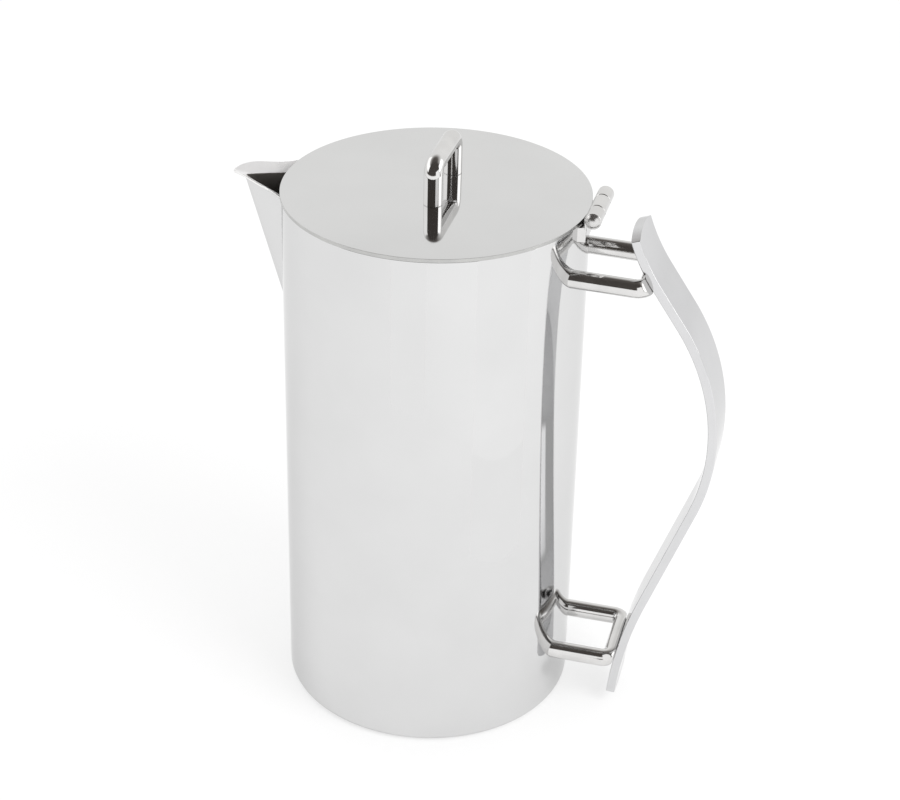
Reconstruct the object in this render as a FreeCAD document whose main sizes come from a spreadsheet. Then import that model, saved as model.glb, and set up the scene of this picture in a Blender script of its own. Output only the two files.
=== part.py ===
import FreeCAD, Part
import math
import os
import Sketcher

# Polished steel coffee pot with a hinged lid, a folded spout and a strap handle on two rod brackets.
# Origin at the middle of the standing face, +Z up, +X towards the handle, spout towards -X.

doc = FreeCAD.newDocument("coffee_pot")
vec = FreeCAD.Vector

# Driving dimensions in millimetres and degrees
driving = [
    ("body_dia", 100.0, "outside diameter of the pot"),
    ("body_gauge", 0.8, "sheet thickness of the pot wall"),
    ("rim_height", 184.9, "top of the pot wall above the table"),
    ("foot_radius", 3.0, "outside radius rolled at the bottom edge"),
    ("base_gauge", 1.0, "thickness of the base disc"),
    ("base_fit", 0.05, "weld gap round the base disc"),
    ("spout_gauge", 1.0, "wall of the spout, measured level"),
    ("spout_height", 48.5, "height of the spout's tapered wall, from its root to the bend"),
    ("spout_root_reach", 0.3, "spout nose out from the wall at its root"),
    ("spout_root_nose", 1.6, "nose radius of the spout at its root"),
    ("spout_reach", 14.0, "spout nose out from the wall at the bend"),
    ("spout_nose", 5.5, "nose radius of the spout at the bend"),
    ("spout_side_angle", 23.0, "angle of each spout side to the pot's middle plane"),
    ("spout_lip_drop", 0.3, "edge of the flared lip below the rim"),
    ("spout_lip_rise", 2.6, "height of the flared lip"),
    ("spout_lip_flare", 4.9, "lip tip out from the bend"),
    ("spout_lip_angle", 28.5, "angle of each lip side to the pot's middle plane"),
    ("notch_land", 1.0, "pot wall left showing inside each spout side"),
    ("notch_root_rise", 8.0, "foot of the pouring notch above the spout root"),
    ("lid_overhang", 0.4, "lid edge out past the pot wall"),
    ("lid_gauge", 1.2, "sheet thickness of the lid"),
    ("lid_crown", 1.0, "rise of the lid from its edge to its middle"),
    ("lid_seat_gap", 0.1, "gap between the rim and the closed lid"),
    ("lid_edge_round", 0.5, "round on the lid's upper edge"),
    ("skirt_gauge", 0.8, "sheet thickness of the lid's locating ring"),
    ("skirt_depth", 5.0, "depth of the locating ring below the lid"),
    ("skirt_clearance", 0.6, "gap between the locating ring and the pot wall"),
    ("rod_dia", 6.0, "rod of the knob and the brackets"),
    ("knob_span", 25.4, "knob posts, middle to middle"),
    ("knob_rise", 12.7, "middle of the knob bar above the lid's crown"),
    ("knob_bend", 3.5, "bend radius of the knob at the rod's middle"),
    ("knob_offset", 2.2, "knob towards the handle from the lid's middle"),
    ("hinge_stand", 3.4, "hinge axis out from the pot wall"),
    ("hinge_rise", 2.1, "hinge axis above the rim"),
    ("knuckle_dia", 5.0, "outside diameter of the hinge barrel"),
    ("barrel_length", 21.0, "whole length of the hinge barrel"),
    ("middle_knuckle", 8.4, "length of the lid's knuckle"),
    ("knuckle_gap", 0.2, "gap at each end of the lid's knuckle"),
    ("pin_dia", 2.4, "hinge pin diameter"),
    ("pin_tight", 0.01, "radial gap of the pin in the fixed knuckles"),
    ("pin_run", 0.05, "radial running gap of the pin in the lid's knuckle"),
    ("pin_head_dia", 4.2, "diameter of the pin's domed heads"),
    ("pin_head_rise", 1.5, "height of the pin's domed heads"),
    ("leaf_gauge", 1.2, "thickness of the upright plates under the fixed knuckles"),
    ("leaf_drop", 5.0, "height of the hinge foot on the pot wall"),
    ("leaf_step", 0.7, "hinge foot's top below the rim"),
    ("bracket_span", 26.0, "bracket arms, middle to middle"),
    ("bracket_bend", 3.8, "bend radius of the brackets at the rod's middle"),
    ("upper_drop", 18.3, "upper bracket's end bar below the rim"),
    ("upper_reach", 22.0, "upper bracket's end bar out from the pot wall"),
    ("upper_droop", 1.5, "fall of the upper bracket's arms towards the handle"),
    ("upper_flat", 0.5, "strap's seat out from the middle of the upper end bar"),
    ("upper_seat_lean", 32.0, "lean of the strap where it meets the upper end bar"),
    ("lower_height", 21.7, "height of the lower bracket's end bar"),
    ("lower_reach", 18.9, "lower bracket's end bar out from the pot wall"),
    ("lower_droop", 0.5, "fall of the lower bracket's arms towards the handle"),
    ("lower_flat", 1.0, "strap's seat out from the middle of the lower end bar"),
    ("lower_seat_lean", 10.9, "lean of the strap where it meets the lower end bar"),
    ("strap_width", 20.0, "width of the handle strap"),
    ("strap_gauge", 3.0, "thickness of the handle strap"),
    ("strap_over", 16.7, "strap's middle layer above the upper end bar"),
    ("strap_under", 18.5, "strap's middle layer below the lower end bar"),
    ("strap_end_rise", 2.0, "height of the arc cut on each strap end"),
    ("grip_curve", 76.0, "bend radius of the strap's bulge"),
    ("top_curve", 66.0, "bend radius of the strap's upper end"),
    ("top_lean", 34.2, "lean of the strap's upper straight stretch"),
    ("foot_curve", 150.0, "bend radius of the strap's lower end"),
    ("foot_lean", 20.0, "lean of the strap's lower straight stretch"),
    ("cut_margin", 2.0, "how far a cutting shape passes the metal that it cuts"),
]

sheet = doc.addObject("Spreadsheet::Sheet", "sizes")
for row, (name, amount, note) in enumerate(driving, 1):
    sheet.set("A%d" % row, note)
    sheet.set("B%d" % row, str(amount))
    sheet.setAlias("B%d" % row, name)
doc.recompute()

# Sizes that follow from the driving dimensions
body_radius = "(sizes.body_dia / 2)"
bore_radius = "(%s - sizes.body_gauge)" % body_radius
rod_radius = "(sizes.rod_dia / 2)"
lid_radius = "(%s + sizes.lid_overhang)" % body_radius
lid_seat = "(sizes.rim_height + sizes.lid_seat_gap)"
crown_radius = "((%s ^ 2 + sizes.lid_crown ^ 2) / (2 * sizes.lid_crown))" % lid_radius
hinge_x = "(%s + sizes.hinge_stand)" % body_radius
hinge_z = "(sizes.rim_height + sizes.hinge_rise)"
knuckle_radius = "(sizes.knuckle_dia / 2)"
lip_height = "(sizes.rim_height - sizes.spout_lip_drop)"
lip_reach = "(sizes.spout_reach + sizes.spout_lip_flare)"
bend_height = "(%s - sizes.spout_lip_rise)" % lip_height
root_height = "(%s - sizes.spout_height)" % bend_height
upper_height = "(sizes.rim_height - sizes.upper_drop)"
lower_height = "sizes.lower_height"
strap_top = "(%s + sizes.strap_over)" % upper_height
strap_foot = "(%s - sizes.strap_under)" % lower_height


def number(expression):
    return float(sheet.evalExpression(expression))


def crown_drop(radius):
    return "(%s - sqrt(%s ^ 2 - (%s) ^ 2))" % (crown_radius, crown_radius, radius)


# Helpers for bodies, sketches and bound dimensions

def new_body(label):
    body = doc.addObject("PartDesign::Body", label)
    body.Label = label
    return body


def new_sketch(body, name, role, shift=None, axis=None, tilt="0"):
    # The shift is along the plane's own x, y and z, and the tilt about an axis of the plane
    sketch = body.newObject("Sketcher::SketchObject", name)
    plane = [feature for feature in body.Origin.OriginFeatures if feature.Role == role][0]
    sketch.AttachmentSupport = [(plane, "")]
    sketch.MapMode = "FlatFace"
    if axis:
        sketch.AttachmentOffset = FreeCAD.Placement(vec(0, 0, 0), FreeCAD.Rotation(axis, number(tilt)))
        sketch.setExpression("AttachmentOffset.Rotation.Angle", tilt)
    for direction, expression in (shift or {}).items():
        sketch.setExpression("AttachmentOffset.Base." + direction, expression)
    return sketch


def rule(sketch, kind, *refs):
    sketch.addConstraint(Sketcher.Constraint(kind, *refs))


def dim(sketch, name, expression, kind, *refs):
    start = number(expression)
    if kind == "Angle":
        start = math.radians(start)
    index = sketch.addConstraint(Sketcher.Constraint(kind, *refs, start))
    sketch.renameConstraint(index, name)
    sketch.setExpression("Constraints." + name, expression)


def reading(sketch, name, kind, *refs):
    # A measured size of the sketch that other features are bound to
    index = sketch.addConstraint(Sketcher.Constraint(kind, *refs, 0.0))
    sketch.setDriving(index, False)
    sketch.renameConstraint(index, name)


def line(sketch, start, end, construction=False):
    segment = Part.LineSegment(vec(start[0], start[1], 0), vec(end[0], end[1], 0))
    return sketch.addGeometry(segment, construction)


def arc(sketch, middle, radius, start, end, construction=False):
    circle = Part.Circle(vec(middle[0], middle[1], 0), vec(0, 0, 1), radius)
    return sketch.addGeometry(Part.ArcOfCircle(circle, math.radians(start), math.radians(end)), construction)


def ring(sketch, middle, radius, construction=False):
    circle = Part.Circle(vec(middle[0], middle[1], 0), vec(0, 0, 1), radius)
    return sketch.addGeometry(circle, construction)


def polar(middle, radius, degrees):
    turn = math.radians(degrees)
    return (middle[0] + radius * math.cos(turn), middle[1] + radius * math.sin(turn))


# Sketcher's numbers for the origin, the two axes and a curve's start, end and middle
x_axis, y_axis = range(-1, -3, -1)
at_start, at_end, at_middle = range(1, 4)
origin = (x_axis, at_start)


def pocket(body, sketch, name, reverse=False, both=False):
    doc.recompute()
    before = body.Shape.Volume
    feature = body.newObject("PartDesign::Pocket", name)
    feature.Profile = sketch
    feature.Type = "ThroughAll"
    feature.Reversed = reverse
    if both:
        feature.SideType = "Symmetric"
    doc.recompute()
    if not feature.Shape.Volume < before - 1e-6:
        raise RuntimeError("%s cuts nothing" % name)
    return feature


def cope_to_pot(body, name):
    # Cuts away what would lie inside the pot, so the piece ends on the wall's outside
    sketch = new_sketch(body, name + "_outline", "XY_Plane")
    edge = ring(sketch, (0, 0), number(body_radius))
    rule(sketch, "Coincident", edge, at_middle, *origin)
    dim(sketch, "wall", body_radius, "Radius", edge)
    pocket(body, sketch, name, both=True)


def solid(kind, name, placing, **sizes):
    piece = doc.addObject("Part::" + kind, name)
    for size, expression in sizes.items():
        piece.setExpression(size, expression)
    for direction, expression in placing.items():
        piece.setExpression("Placement.Base." + direction, expression)
    return piece


def barrel(name, radius, start, length):
    # Cylinder along the hinge axis
    piece = solid("Cylinder", name, {}, Radius=radius, Height=length)
    piece.Placement = FreeCAD.Placement(vec(0, 0, 0), FreeCAD.Rotation(vec(1, 0, 0), -90))
    for direction, expression in (("x", hinge_x), ("y", start), ("z", hinge_z)):
        piece.setExpression("Placement.Base." + direction, expression)
    return piece


def joined(name, first, second):
    piece = doc.addObject("Part::Fuse", name)
    piece.Base = first
    piece.Tool = second
    piece.Refine = True
    return piece


def less(name, first, second):
    piece = doc.addObject("Part::Cut", name)
    piece.Base = first
    piece.Tool = second
    return piece


# Pot wall: a revolved sheet, rolled in at the bottom, with a notch behind the spout

def make_body_wall():
    body = new_body("body_wall")
    sketch = new_sketch(body, "wall_profile", "XZ_Plane")
    radius = number(body_radius)
    gauge = number("sizes.body_gauge")
    foot = number("sizes.foot_radius")
    rim = number("sizes.rim_height")
    outer_foot = arc(sketch, (radius - foot, foot), foot, 270, 360)
    outside = line(sketch, (radius, foot), (radius, rim))
    edge = line(sketch, (radius, rim), (radius - gauge, rim))
    inside = line(sketch, (radius - gauge, rim), (radius - gauge, foot))
    inner_foot = arc(sketch, (radius - foot, foot), foot - gauge, 270, 360)
    seam = line(sketch, (radius - foot, gauge), (radius - foot, 0))
    rule(sketch, "Tangent", outer_foot, at_end, outside, at_start)
    rule(sketch, "Coincident", outside, at_end, edge, at_start)
    rule(sketch, "Coincident", edge, at_end, inside, at_start)
    rule(sketch, "Tangent", inside, at_end, inner_foot, at_end)
    rule(sketch, "Coincident", inner_foot, at_start, seam, at_start)
    rule(sketch, "Coincident", seam, at_end, outer_foot, at_start)
    rule(sketch, "Coincident", outer_foot, at_middle, inner_foot, at_middle)
    rule(sketch, "Vertical", outside)
    rule(sketch, "Horizontal", edge)
    rule(sketch, "Vertical", inside)
    rule(sketch, "Vertical", seam)
    rule(sketch, "Vertical", outer_foot, at_middle, outer_foot, at_start)
    rule(sketch, "PointOnObject", outer_foot, at_start, x_axis)
    dim(sketch, "foot", "sizes.foot_radius", "Radius", outer_foot)
    dim(sketch, "radius", body_radius, "DistanceX", *origin, outside, at_start)
    dim(sketch, "height", "sizes.rim_height", "DistanceY", *origin, outside, at_end)
    dim(sketch, "gauge", "sizes.body_gauge", "DistanceX", edge, at_end, edge, at_start)
    turned = body.newObject("PartDesign::Revolution", "wall")
    turned.Profile = sketch
    turned.ReferenceAxis = (sketch, ["V_Axis"])
    make_notch(body)
    return body


def make_notch(body):
    # Half width of the spout's inside where it meets the wall at the bend, less a land
    nose_out = "(sizes.spout_reach - sizes.spout_nose)"
    inner_nose = "(sizes.spout_nose - sizes.spout_gauge)"
    turn = "(sizes.spout_side_angle * 1 deg)"
    half = "((%s + %s * sin(%s)) / cos(%s) - sizes.notch_land)" % (inner_nose, nose_out, turn, turn)
    root = "(%s + sizes.notch_root_rise)" % root_height
    top = "(sizes.rim_height + sizes.cut_margin)"
    sketch = new_sketch(body, "notch_outline", "YZ_Plane")
    root_point = (0, number(root))
    left_point = (-number(half), number(top))
    right_point = (number(half), number(top))
    left = line(sketch, root_point, left_point)
    mouth = line(sketch, left_point, right_point)
    right = line(sketch, right_point, root_point)
    rule(sketch, "Coincident", left, at_end, mouth, at_start)
    rule(sketch, "Coincident", mouth, at_end, right, at_start)
    rule(sketch, "Coincident", right, at_end, left, at_start)
    rule(sketch, "PointOnObject", left, at_start, y_axis)
    rule(sketch, "Symmetric", left, at_end, right, at_start, y_axis)
    dim(sketch, "root", root, "DistanceY", *origin, left, at_start)
    dim(sketch, "top", top, "DistanceY", *origin, left, at_end)
    dim(sketch, "half", half, "DistanceX", *origin, right, at_start)
    pocket(body, sketch, "notch")


# Base disc: flat plate welded flush inside the rolled bottom edge

def make_base_plate():
    radius = "%s - sizes.foot_radius - sizes.base_fit" % body_radius
    disc = solid("Cylinder", "base_plate", {}, Radius=radius, Height="sizes.base_gauge")
    disc.Label = "base_plate"
    return disc


# Spout: two ruled walls, the folded cone and its flared lip, coped to the pot

def spout_section(body, name, height, reach, nose, angle, inset):
    sketch = new_sketch(body, name, "XY_Plane", {"z": height})
    middle_out = "(%s + %s - %s)" % (body_radius, reach, nose)
    radius = "(%s - %s)" % (nose, inset)
    back = "(%s - 3 * sizes.cut_margin)" % body_radius
    turn = number(angle)
    middle = (-number(middle_out), 0)
    upper = polar(middle, number(radius), 90 + turn)
    lower = polar(middle, number(radius), 270 - turn)
    run = -number(back) - upper[0]
    spread = upper[1] + run * math.tan(math.radians(turn))
    nose_arc = arc(sketch, middle, number(radius), 90 + turn, 270 - turn)
    side = line(sketch, upper, (-number(back), spread))
    other_side = line(sketch, lower, (-number(back), -spread))
    closing = line(sketch, (-number(back), spread), (-number(back), -spread))
    rule(sketch, "PointOnObject", nose_arc, at_middle, x_axis)
    rule(sketch, "Tangent", nose_arc, at_start, side, at_start)
    rule(sketch, "Tangent", nose_arc, at_end, other_side, at_start)
    rule(sketch, "Coincident", side, at_end, closing, at_start)
    rule(sketch, "Coincident", other_side, at_end, closing, at_end)
    rule(sketch, "Symmetric", side, at_end, other_side, at_end, x_axis)
    dim(sketch, "nose", radius, "Radius", nose_arc)
    dim(sketch, "out", middle_out, "DistanceX", nose_arc, at_middle, *origin)
    dim(sketch, "back", back, "DistanceX", side, at_end, *origin)
    dim(sketch, "spread", angle, "Angle", side)
    return sketch


def make_spout():
    body = new_body("spout")
    for kind, inset in (("AdditiveLoft", "0"), ("SubtractiveLoft", "sizes.spout_gauge")):
        root = spout_section(body, kind + "_root", root_height, "sizes.spout_root_reach",
                             "sizes.spout_root_nose", "sizes.spout_side_angle", inset)
        bend = spout_section(body, kind + "_bend", bend_height, "sizes.spout_reach",
                             "sizes.spout_nose", "sizes.spout_side_angle", inset)
        lip = spout_section(body, kind + "_lip", lip_height, lip_reach,
                            "sizes.spout_nose", "sizes.spout_lip_angle", inset)
        doc.recompute()
        for first, second in ((root, bend), (bend, lip)):
            loft = body.newObject("PartDesign::" + kind, kind + "_wall")
            loft.Profile = first
            loft.Sections = [second]
            loft.Ruled = True
            doc.recompute()
    cope_to_pot(body, "spout_cope")
    return body


# Lid: a crowned disc with a rounded edge, and the locating ring welded under it

def make_lid_plate():
    body = new_body("lid_plate")
    sketch = new_sketch(body, "lid_profile", "XZ_Plane")
    radius = number(lid_radius)
    seat = number(lid_seat)
    gauge = number("sizes.lid_gauge")
    crown = number("sizes.lid_crown")
    sphere = number(crown_radius)
    rim_turn = math.degrees(math.acos(radius / sphere))
    underside = arc(sketch, (0, seat + crown - sphere), sphere, rim_turn, 90)
    edge = line(sketch, (radius, seat), (radius, seat + gauge))
    topside = arc(sketch, (0, seat + gauge + crown - sphere), sphere, rim_turn, 90)
    core = line(sketch, (0, seat + gauge + crown), (0, seat + crown))
    rule(sketch, "Coincident", underside, at_start, edge, at_start)
    rule(sketch, "Coincident", edge, at_end, topside, at_start)
    rule(sketch, "Coincident", topside, at_end, core, at_start)
    rule(sketch, "Coincident", core, at_end, underside, at_end)
    rule(sketch, "Vertical", edge)
    rule(sketch, "PointOnObject", underside, at_middle, y_axis)
    rule(sketch, "PointOnObject", topside, at_middle, y_axis)
    rule(sketch, "PointOnObject", core, at_start, y_axis)
    rule(sketch, "PointOnObject", core, at_end, y_axis)
    dim(sketch, "radius", lid_radius, "DistanceX", *origin, edge, at_start)
    dim(sketch, "seat", lid_seat, "DistanceY", *origin, edge, at_start)
    dim(sketch, "gauge", "sizes.lid_gauge", "DistanceY", edge, at_start, edge, at_end)
    dim(sketch, "crown", "sizes.lid_crown", "DistanceY", edge, at_start, underside, at_end)
    dim(sketch, "top_crown", "sizes.lid_crown", "DistanceY", edge, at_end, topside, at_end)
    turned = body.newObject("PartDesign::Revolution", "lid_disc")
    turned.Profile = sketch
    turned.ReferenceAxis = (sketch, ["V_Axis"])
    doc.recompute()
    upper = [index for index, item in enumerate(turned.Shape.Edges, 1)
             if item.BoundBox.ZLength < 1e-6 and abs(item.BoundBox.ZMax - seat - gauge) < 1e-6]
    rounded = body.newObject("PartDesign::Fillet", "lid_edge")
    rounded.Base = (turned, ["Edge%d" % index for index in upper])
    rounded.setExpression("Radius", "sizes.lid_edge_round")
    return body


def make_lid_skirt():
    outside = "(%s - sizes.skirt_clearance)" % bore_radius
    inside = "(%s - sizes.skirt_gauge)" % outside
    foot = "(%s - sizes.skirt_depth)" % lid_seat
    height = "sizes.skirt_depth + sizes.lid_crown - %s" % crown_drop(outside)
    tube = solid("Cylinder", "skirt_outside", {"z": foot}, Radius=outside, Height=height)
    bore = solid("Cylinder", "skirt_inside", {"z": foot}, Radius=inside, Height=height)
    skirt = less("lid_skirt", tube, bore)
    skirt.Label = "lid_skirt"
    return skirt


# Rod pieces: a round rod swept along straight runs joined by bends

def rod_path(sketch, span, leg, bend, upright):
    # A staple: two legs a span apart, joined by a bar through the sketch's origin
    half = number(span) / 2
    foot = -number(leg)
    radius = number(bend)

    def place(along, across):
        return (across, along) if upright else (along, across)

    first_leg = line(sketch, place(foot, -half), place(-radius, -half))
    bar = line(sketch, place(0, -half + radius), place(0, half - radius))
    last_leg = line(sketch, place(-radius, half), place(foot, half))
    start = 90 if upright else 270
    first_bend = arc(sketch, place(-radius, -half + radius), radius, start, start + 90)
    last_bend = arc(sketch, place(-radius, half - radius), radius, 0, 90)
    entry, leave = (at_end, at_start) if upright else (at_start, at_end)
    along, across = ("DistanceY", "DistanceX") if upright else ("DistanceX", "DistanceY")
    rule(sketch, "Tangent", first_leg, at_end, first_bend, entry)
    rule(sketch, "Tangent", first_bend, leave, bar, at_start)
    rule(sketch, "Tangent", bar, at_end, last_bend, entry)
    rule(sketch, "Tangent", last_bend, leave, last_leg, at_start)
    rule(sketch, "Vertical" if upright else "Horizontal", first_leg)
    rule(sketch, "Vertical" if upright else "Horizontal", last_leg)
    rule(sketch, "Equal", first_bend, last_bend)
    rule(sketch, "Symmetric", first_leg, at_start, last_leg, at_end, y_axis if upright else x_axis)
    rule(sketch, "PointOnObject", bar, at_start, x_axis if upright else y_axis)
    dim(sketch, "bend", bend, "Radius", first_bend)
    dim(sketch, "span", span, across, first_leg, at_start, last_leg, at_end)
    dim(sketch, "leg", leg, along, first_leg, at_start, *origin)


def sweep_rod(body, path, profile, name):
    doc.recompute()
    swept = body.newObject("PartDesign::AdditivePipe", name)
    swept.Profile = profile
    swept.Spine = path
    doc.recompute()
    return swept


def make_knob():
    body = new_body("knob")
    crown_top = "(%s + sizes.lid_gauge + sizes.lid_crown)" % lid_seat
    inner_post = "sqrt((sizes.knob_span / 2 - %s) ^ 2 + sizes.knob_offset ^ 2)" % rod_radius
    seat = "(%s - %s)" % (crown_top, crown_drop(inner_post))
    bar = "(%s + sizes.knob_rise)" % crown_top
    path = new_sketch(body, "knob_path", "YZ_Plane", {"y": bar, "z": "sizes.knob_offset"})
    rod_path(path, "sizes.knob_span", "%s - %s" % (bar, seat), "sizes.knob_bend", True)
    profile = new_sketch(body, "knob_section", "XY_Plane", {"z": seat})
    half = number("sizes.knob_span / 2")
    section = ring(profile, (number("sizes.knob_offset"), -half), number(rod_radius))
    dim(profile, "rod", rod_radius, "Radius", section)
    dim(profile, "offset", "sizes.knob_offset", "DistanceX", *origin, section, at_middle)
    dim(profile, "half", "sizes.knob_span / 2", "DistanceY", section, at_middle, *origin)
    sweep_rod(body, path, profile, "knob_rod")
    return body


def make_bracket(place, curve, height):
    # The arms run from inside the wall to the end bar, then both ends are cut to what they meet
    label = place + "_bracket"
    body = new_body(label)
    half = "(sizes.bracket_span / 2)"
    bar = "(%s + sizes.%s_reach)" % (body_radius, place)
    droop = "(sizes.%s_droop * 1 deg)" % place
    root = "(sqrt(%s ^ 2 - (%s + %s) ^ 2) - sizes.cut_margin)" % (body_radius, half, rod_radius)
    leg = "(%s - %s)" % (bar, root)
    path = new_sketch(body, label + "_path", "XY_Plane", {"x": bar, "z": height}, vec(0, 1, 0), droop)
    rod_path(path, "sizes.bracket_span", leg, "sizes.bracket_bend", False)
    profile = new_sketch(body, label + "_section", "YZ_Plane",
                         {"y": "%s + %s * sin(%s)" % (height, leg, droop),
                          "z": "%s - %s * cos(%s)" % (bar, leg, droop)}, vec(1, 0, 0), droop)
    section = ring(profile, (-number(half), 0), number(rod_radius))
    rule(profile, "PointOnObject", section, at_middle, x_axis)
    dim(profile, "rod", rod_radius, "Radius", section)
    dim(profile, "half", half, "DistanceX", section, at_middle, *origin)
    sweep_rod(body, path, profile, label + "_rod")
    cope_to_pot(body, label + "_cope")
    seat = new_sketch(body, label + "_seat", "XZ_Plane")
    radius = "(sizes.%s_curve + sizes.strap_gauge / 2)" % curve
    out, up = ["strap_profile.Constraints.%s_%s" % (curve, way) for way in ("out", "up")]
    face = ring(seat, (number(out), number(up)), number(radius))
    dim(seat, "radius", radius, "Radius", face)
    dim(seat, "out", out, "DistanceX", *origin, face, at_middle)
    dim(seat, "up", up, "DistanceY", *origin, face, at_middle)
    pocket(body, seat, label + "_flat", both=True)
    return body


# Handle strap: an S of three arcs and two straight stretches that bears on both end bars

def strap_layout():
    # Each end arc lies on its bar at the seat's lean, and the bulge rounds the corner of the stretches
    bars = []
    middles = []
    starts = []
    leans = []
    for place, curve, height, side in (("upper", "top", upper_height, 1),
                                       ("lower", "foot", lower_height, -1)):
        bar = (number("%s + sizes.%s_reach" % (body_radius, place)), number(height))
        radius = number("sizes.%s_curve" % curve)
        reach = radius + number("sizes.%s_flat + sizes.strap_gauge / 2" % place)
        middle = polar(bar, reach, side * number("sizes.%s_seat_lean" % place))
        lean = number("sizes.%s_lean" % curve)
        bars.append(bar)
        middles.append(middle)
        starts.append(polar(middle, radius, 180 + side * lean))
        leans.append(math.radians(lean))
    top_lean, foot_lean = leans
    gap = (starts[1][0] - starts[0][0], starts[1][1] - starts[0][1])
    corner = (gap[0] * math.cos(foot_lean) - gap[1] * math.sin(foot_lean)) / math.sin(top_lean + foot_lean)
    stretch = corner - number("sizes.grip_curve") * math.tan((top_lean + foot_lean) / 2)
    bend = (starts[0][0] + stretch * math.sin(top_lean), starts[0][1] - stretch * math.cos(top_lean))
    grip = polar(bend, number("sizes.grip_curve"), 180 + number("sizes.top_lean"))
    return middles[0], grip, middles[1], bars[0], bars[1]


def strap_chain(sketch, layers, top, grip, foot, construction=False):
    # Upper arc, upper stretch, bulge arc, lower stretch and lower arc at the given radii
    top_radius, grip_radius, foot_radius = layers
    top_lean = number("sizes.top_lean")
    foot_lean = number("sizes.foot_lean")
    rise = math.degrees(math.asin((number(strap_top) - top[1]) / number("sizes.top_curve")))
    fall = math.degrees(math.asin((number(strap_foot) - foot[1]) / number("sizes.foot_curve")))
    upper = arc(sketch, top, top_radius, 180 - rise, 180 + top_lean, construction)
    upper_run = line(sketch, polar(grip, grip_radius, top_lean),
                     polar(top, top_radius, 180 + top_lean), construction)
    bulge = arc(sketch, grip, grip_radius, -foot_lean, top_lean, construction)
    lower_run = line(sketch, polar(foot, foot_radius, 180 - foot_lean),
                     polar(grip, grip_radius, -foot_lean), construction)
    lower = arc(sketch, foot, foot_radius, 180 - foot_lean, 180 - fall, construction)
    rule(sketch, "Tangent", upper, at_end, upper_run, at_end)
    rule(sketch, "Tangent", upper_run, at_start, bulge, at_end)
    rule(sketch, "Tangent", bulge, at_start, lower_run, at_end)
    rule(sketch, "Tangent", lower_run, at_start, lower, at_start)
    return upper, upper_run, bulge, lower_run, lower


def make_handle_strap():
    body = new_body("handle_strap")
    sketch = new_sketch(body, "strap_profile", "XZ_Plane")
    top, grip, foot, upper_bar, lower_bar = strap_layout()
    half = number("sizes.strap_gauge / 2")
    radii = (number("sizes.top_curve"), number("sizes.grip_curve"), number("sizes.foot_curve"))
    middle = strap_chain(sketch, radii, top, grip, foot, True)
    upper, upper_run, bulge, lower_run, lower = middle
    dim(sketch, "top_curve", "sizes.top_curve", "Radius", upper)
    dim(sketch, "grip_curve", "sizes.grip_curve", "Radius", bulge)
    dim(sketch, "foot_curve", "sizes.foot_curve", "Radius", lower)
    dim(sketch, "top_lean", "90 + sizes.top_lean", "Angle", upper_run)
    dim(sketch, "foot_lean", "90 - sizes.foot_lean", "Angle", lower_run)
    dim(sketch, "strap_top", strap_top, "DistanceY", *origin, upper, at_start)
    dim(sketch, "strap_foot", strap_foot, "DistanceY", *origin, lower, at_end)
    for name, bar, curve, centre, height in (("upper", upper_bar, upper, top, upper_height),
                                             ("lower", lower_bar, lower, foot, lower_height)):
        touch = "sizes.%s_flat + sizes.strap_gauge / 2" % name
        circle = ring(sketch, bar, number(touch), True)
        dim(sketch, name + "_touch", touch, "Radius", circle)
        dim(sketch, name + "_out", "%s + sizes.%s_reach" % (body_radius, name),
            "DistanceX", *origin, circle, at_middle)
        dim(sketch, name + "_up", height, "DistanceY", *origin, circle, at_middle)
        rule(sketch, "Tangent", curve, circle)
        if name == "upper":
            normal = line(sketch, bar, centre, True)
            ends = ((circle, at_middle), (curve, at_middle))
            turn = "sizes.upper_seat_lean"
        else:
            normal = line(sketch, centre, bar, True)
            ends = ((curve, at_middle), (circle, at_middle))
            turn = "180 - sizes.lower_seat_lean"
        rule(sketch, "Coincident", normal, at_start, *ends[0])
        rule(sketch, "Coincident", normal, at_end, *ends[1])
        dim(sketch, name + "_seat", turn, "Angle", normal)
    faces = []
    for name, sign, back, side in (("outer", "+", "-", 1), ("inner", "-", "+", -1)):
        layers = (radii[0] - side * half, radii[1] + side * half, radii[2] - side * half)
        chain = strap_chain(sketch, layers, top, grip, foot)
        for index in (0, 2, 4):
            rule(sketch, "Coincident", chain[index], at_middle, middle[index], at_middle)
        dim(sketch, name + "_top", "sizes.top_curve %s sizes.strap_gauge / 2" % back, "Radius", chain[0])
        dim(sketch, name + "_grip", "sizes.grip_curve %s sizes.strap_gauge / 2" % sign, "Radius", chain[2])
        dim(sketch, name + "_foot", "sizes.foot_curve %s sizes.strap_gauge / 2" % back, "Radius", chain[4])
        faces.append(chain)
    outer, inner = faces
    for index, end in ((0, at_start), (4, at_end)):
        point = sketch.getPoint(outer[index], end)
        other = sketch.getPoint(inner[index], end)
        closing = line(sketch, (point.x, point.y), (other.x, other.y))
        rule(sketch, "Coincident", closing, at_start, outer[index], end)
        rule(sketch, "Coincident", closing, at_end, inner[index], end)
        rule(sketch, "PointOnObject", middle[index], end, closing)
        rule(sketch, "PointOnObject", middle[index], at_middle, closing)
    for name, curve, end in (("top", upper, at_start), ("foot", lower, at_end)):
        reading(sketch, name + "_out", "DistanceX", *origin, curve, at_middle)
        reading(sketch, name + "_up", "DistanceY", *origin, curve, at_middle)
        reading(sketch, name + "_end", "DistanceX", *origin, curve, end)
    pad = body.newObject("PartDesign::Pad", "strap")
    pad.Profile = sketch
    pad.SideType = "Symmetric"
    pad.setExpression("Length", "sizes.strap_width")
    doc.recompute()
    cut_strap_end(body, "top", strap_top, 1)
    cut_strap_end(body, "foot", strap_foot, -1)
    return body


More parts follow.
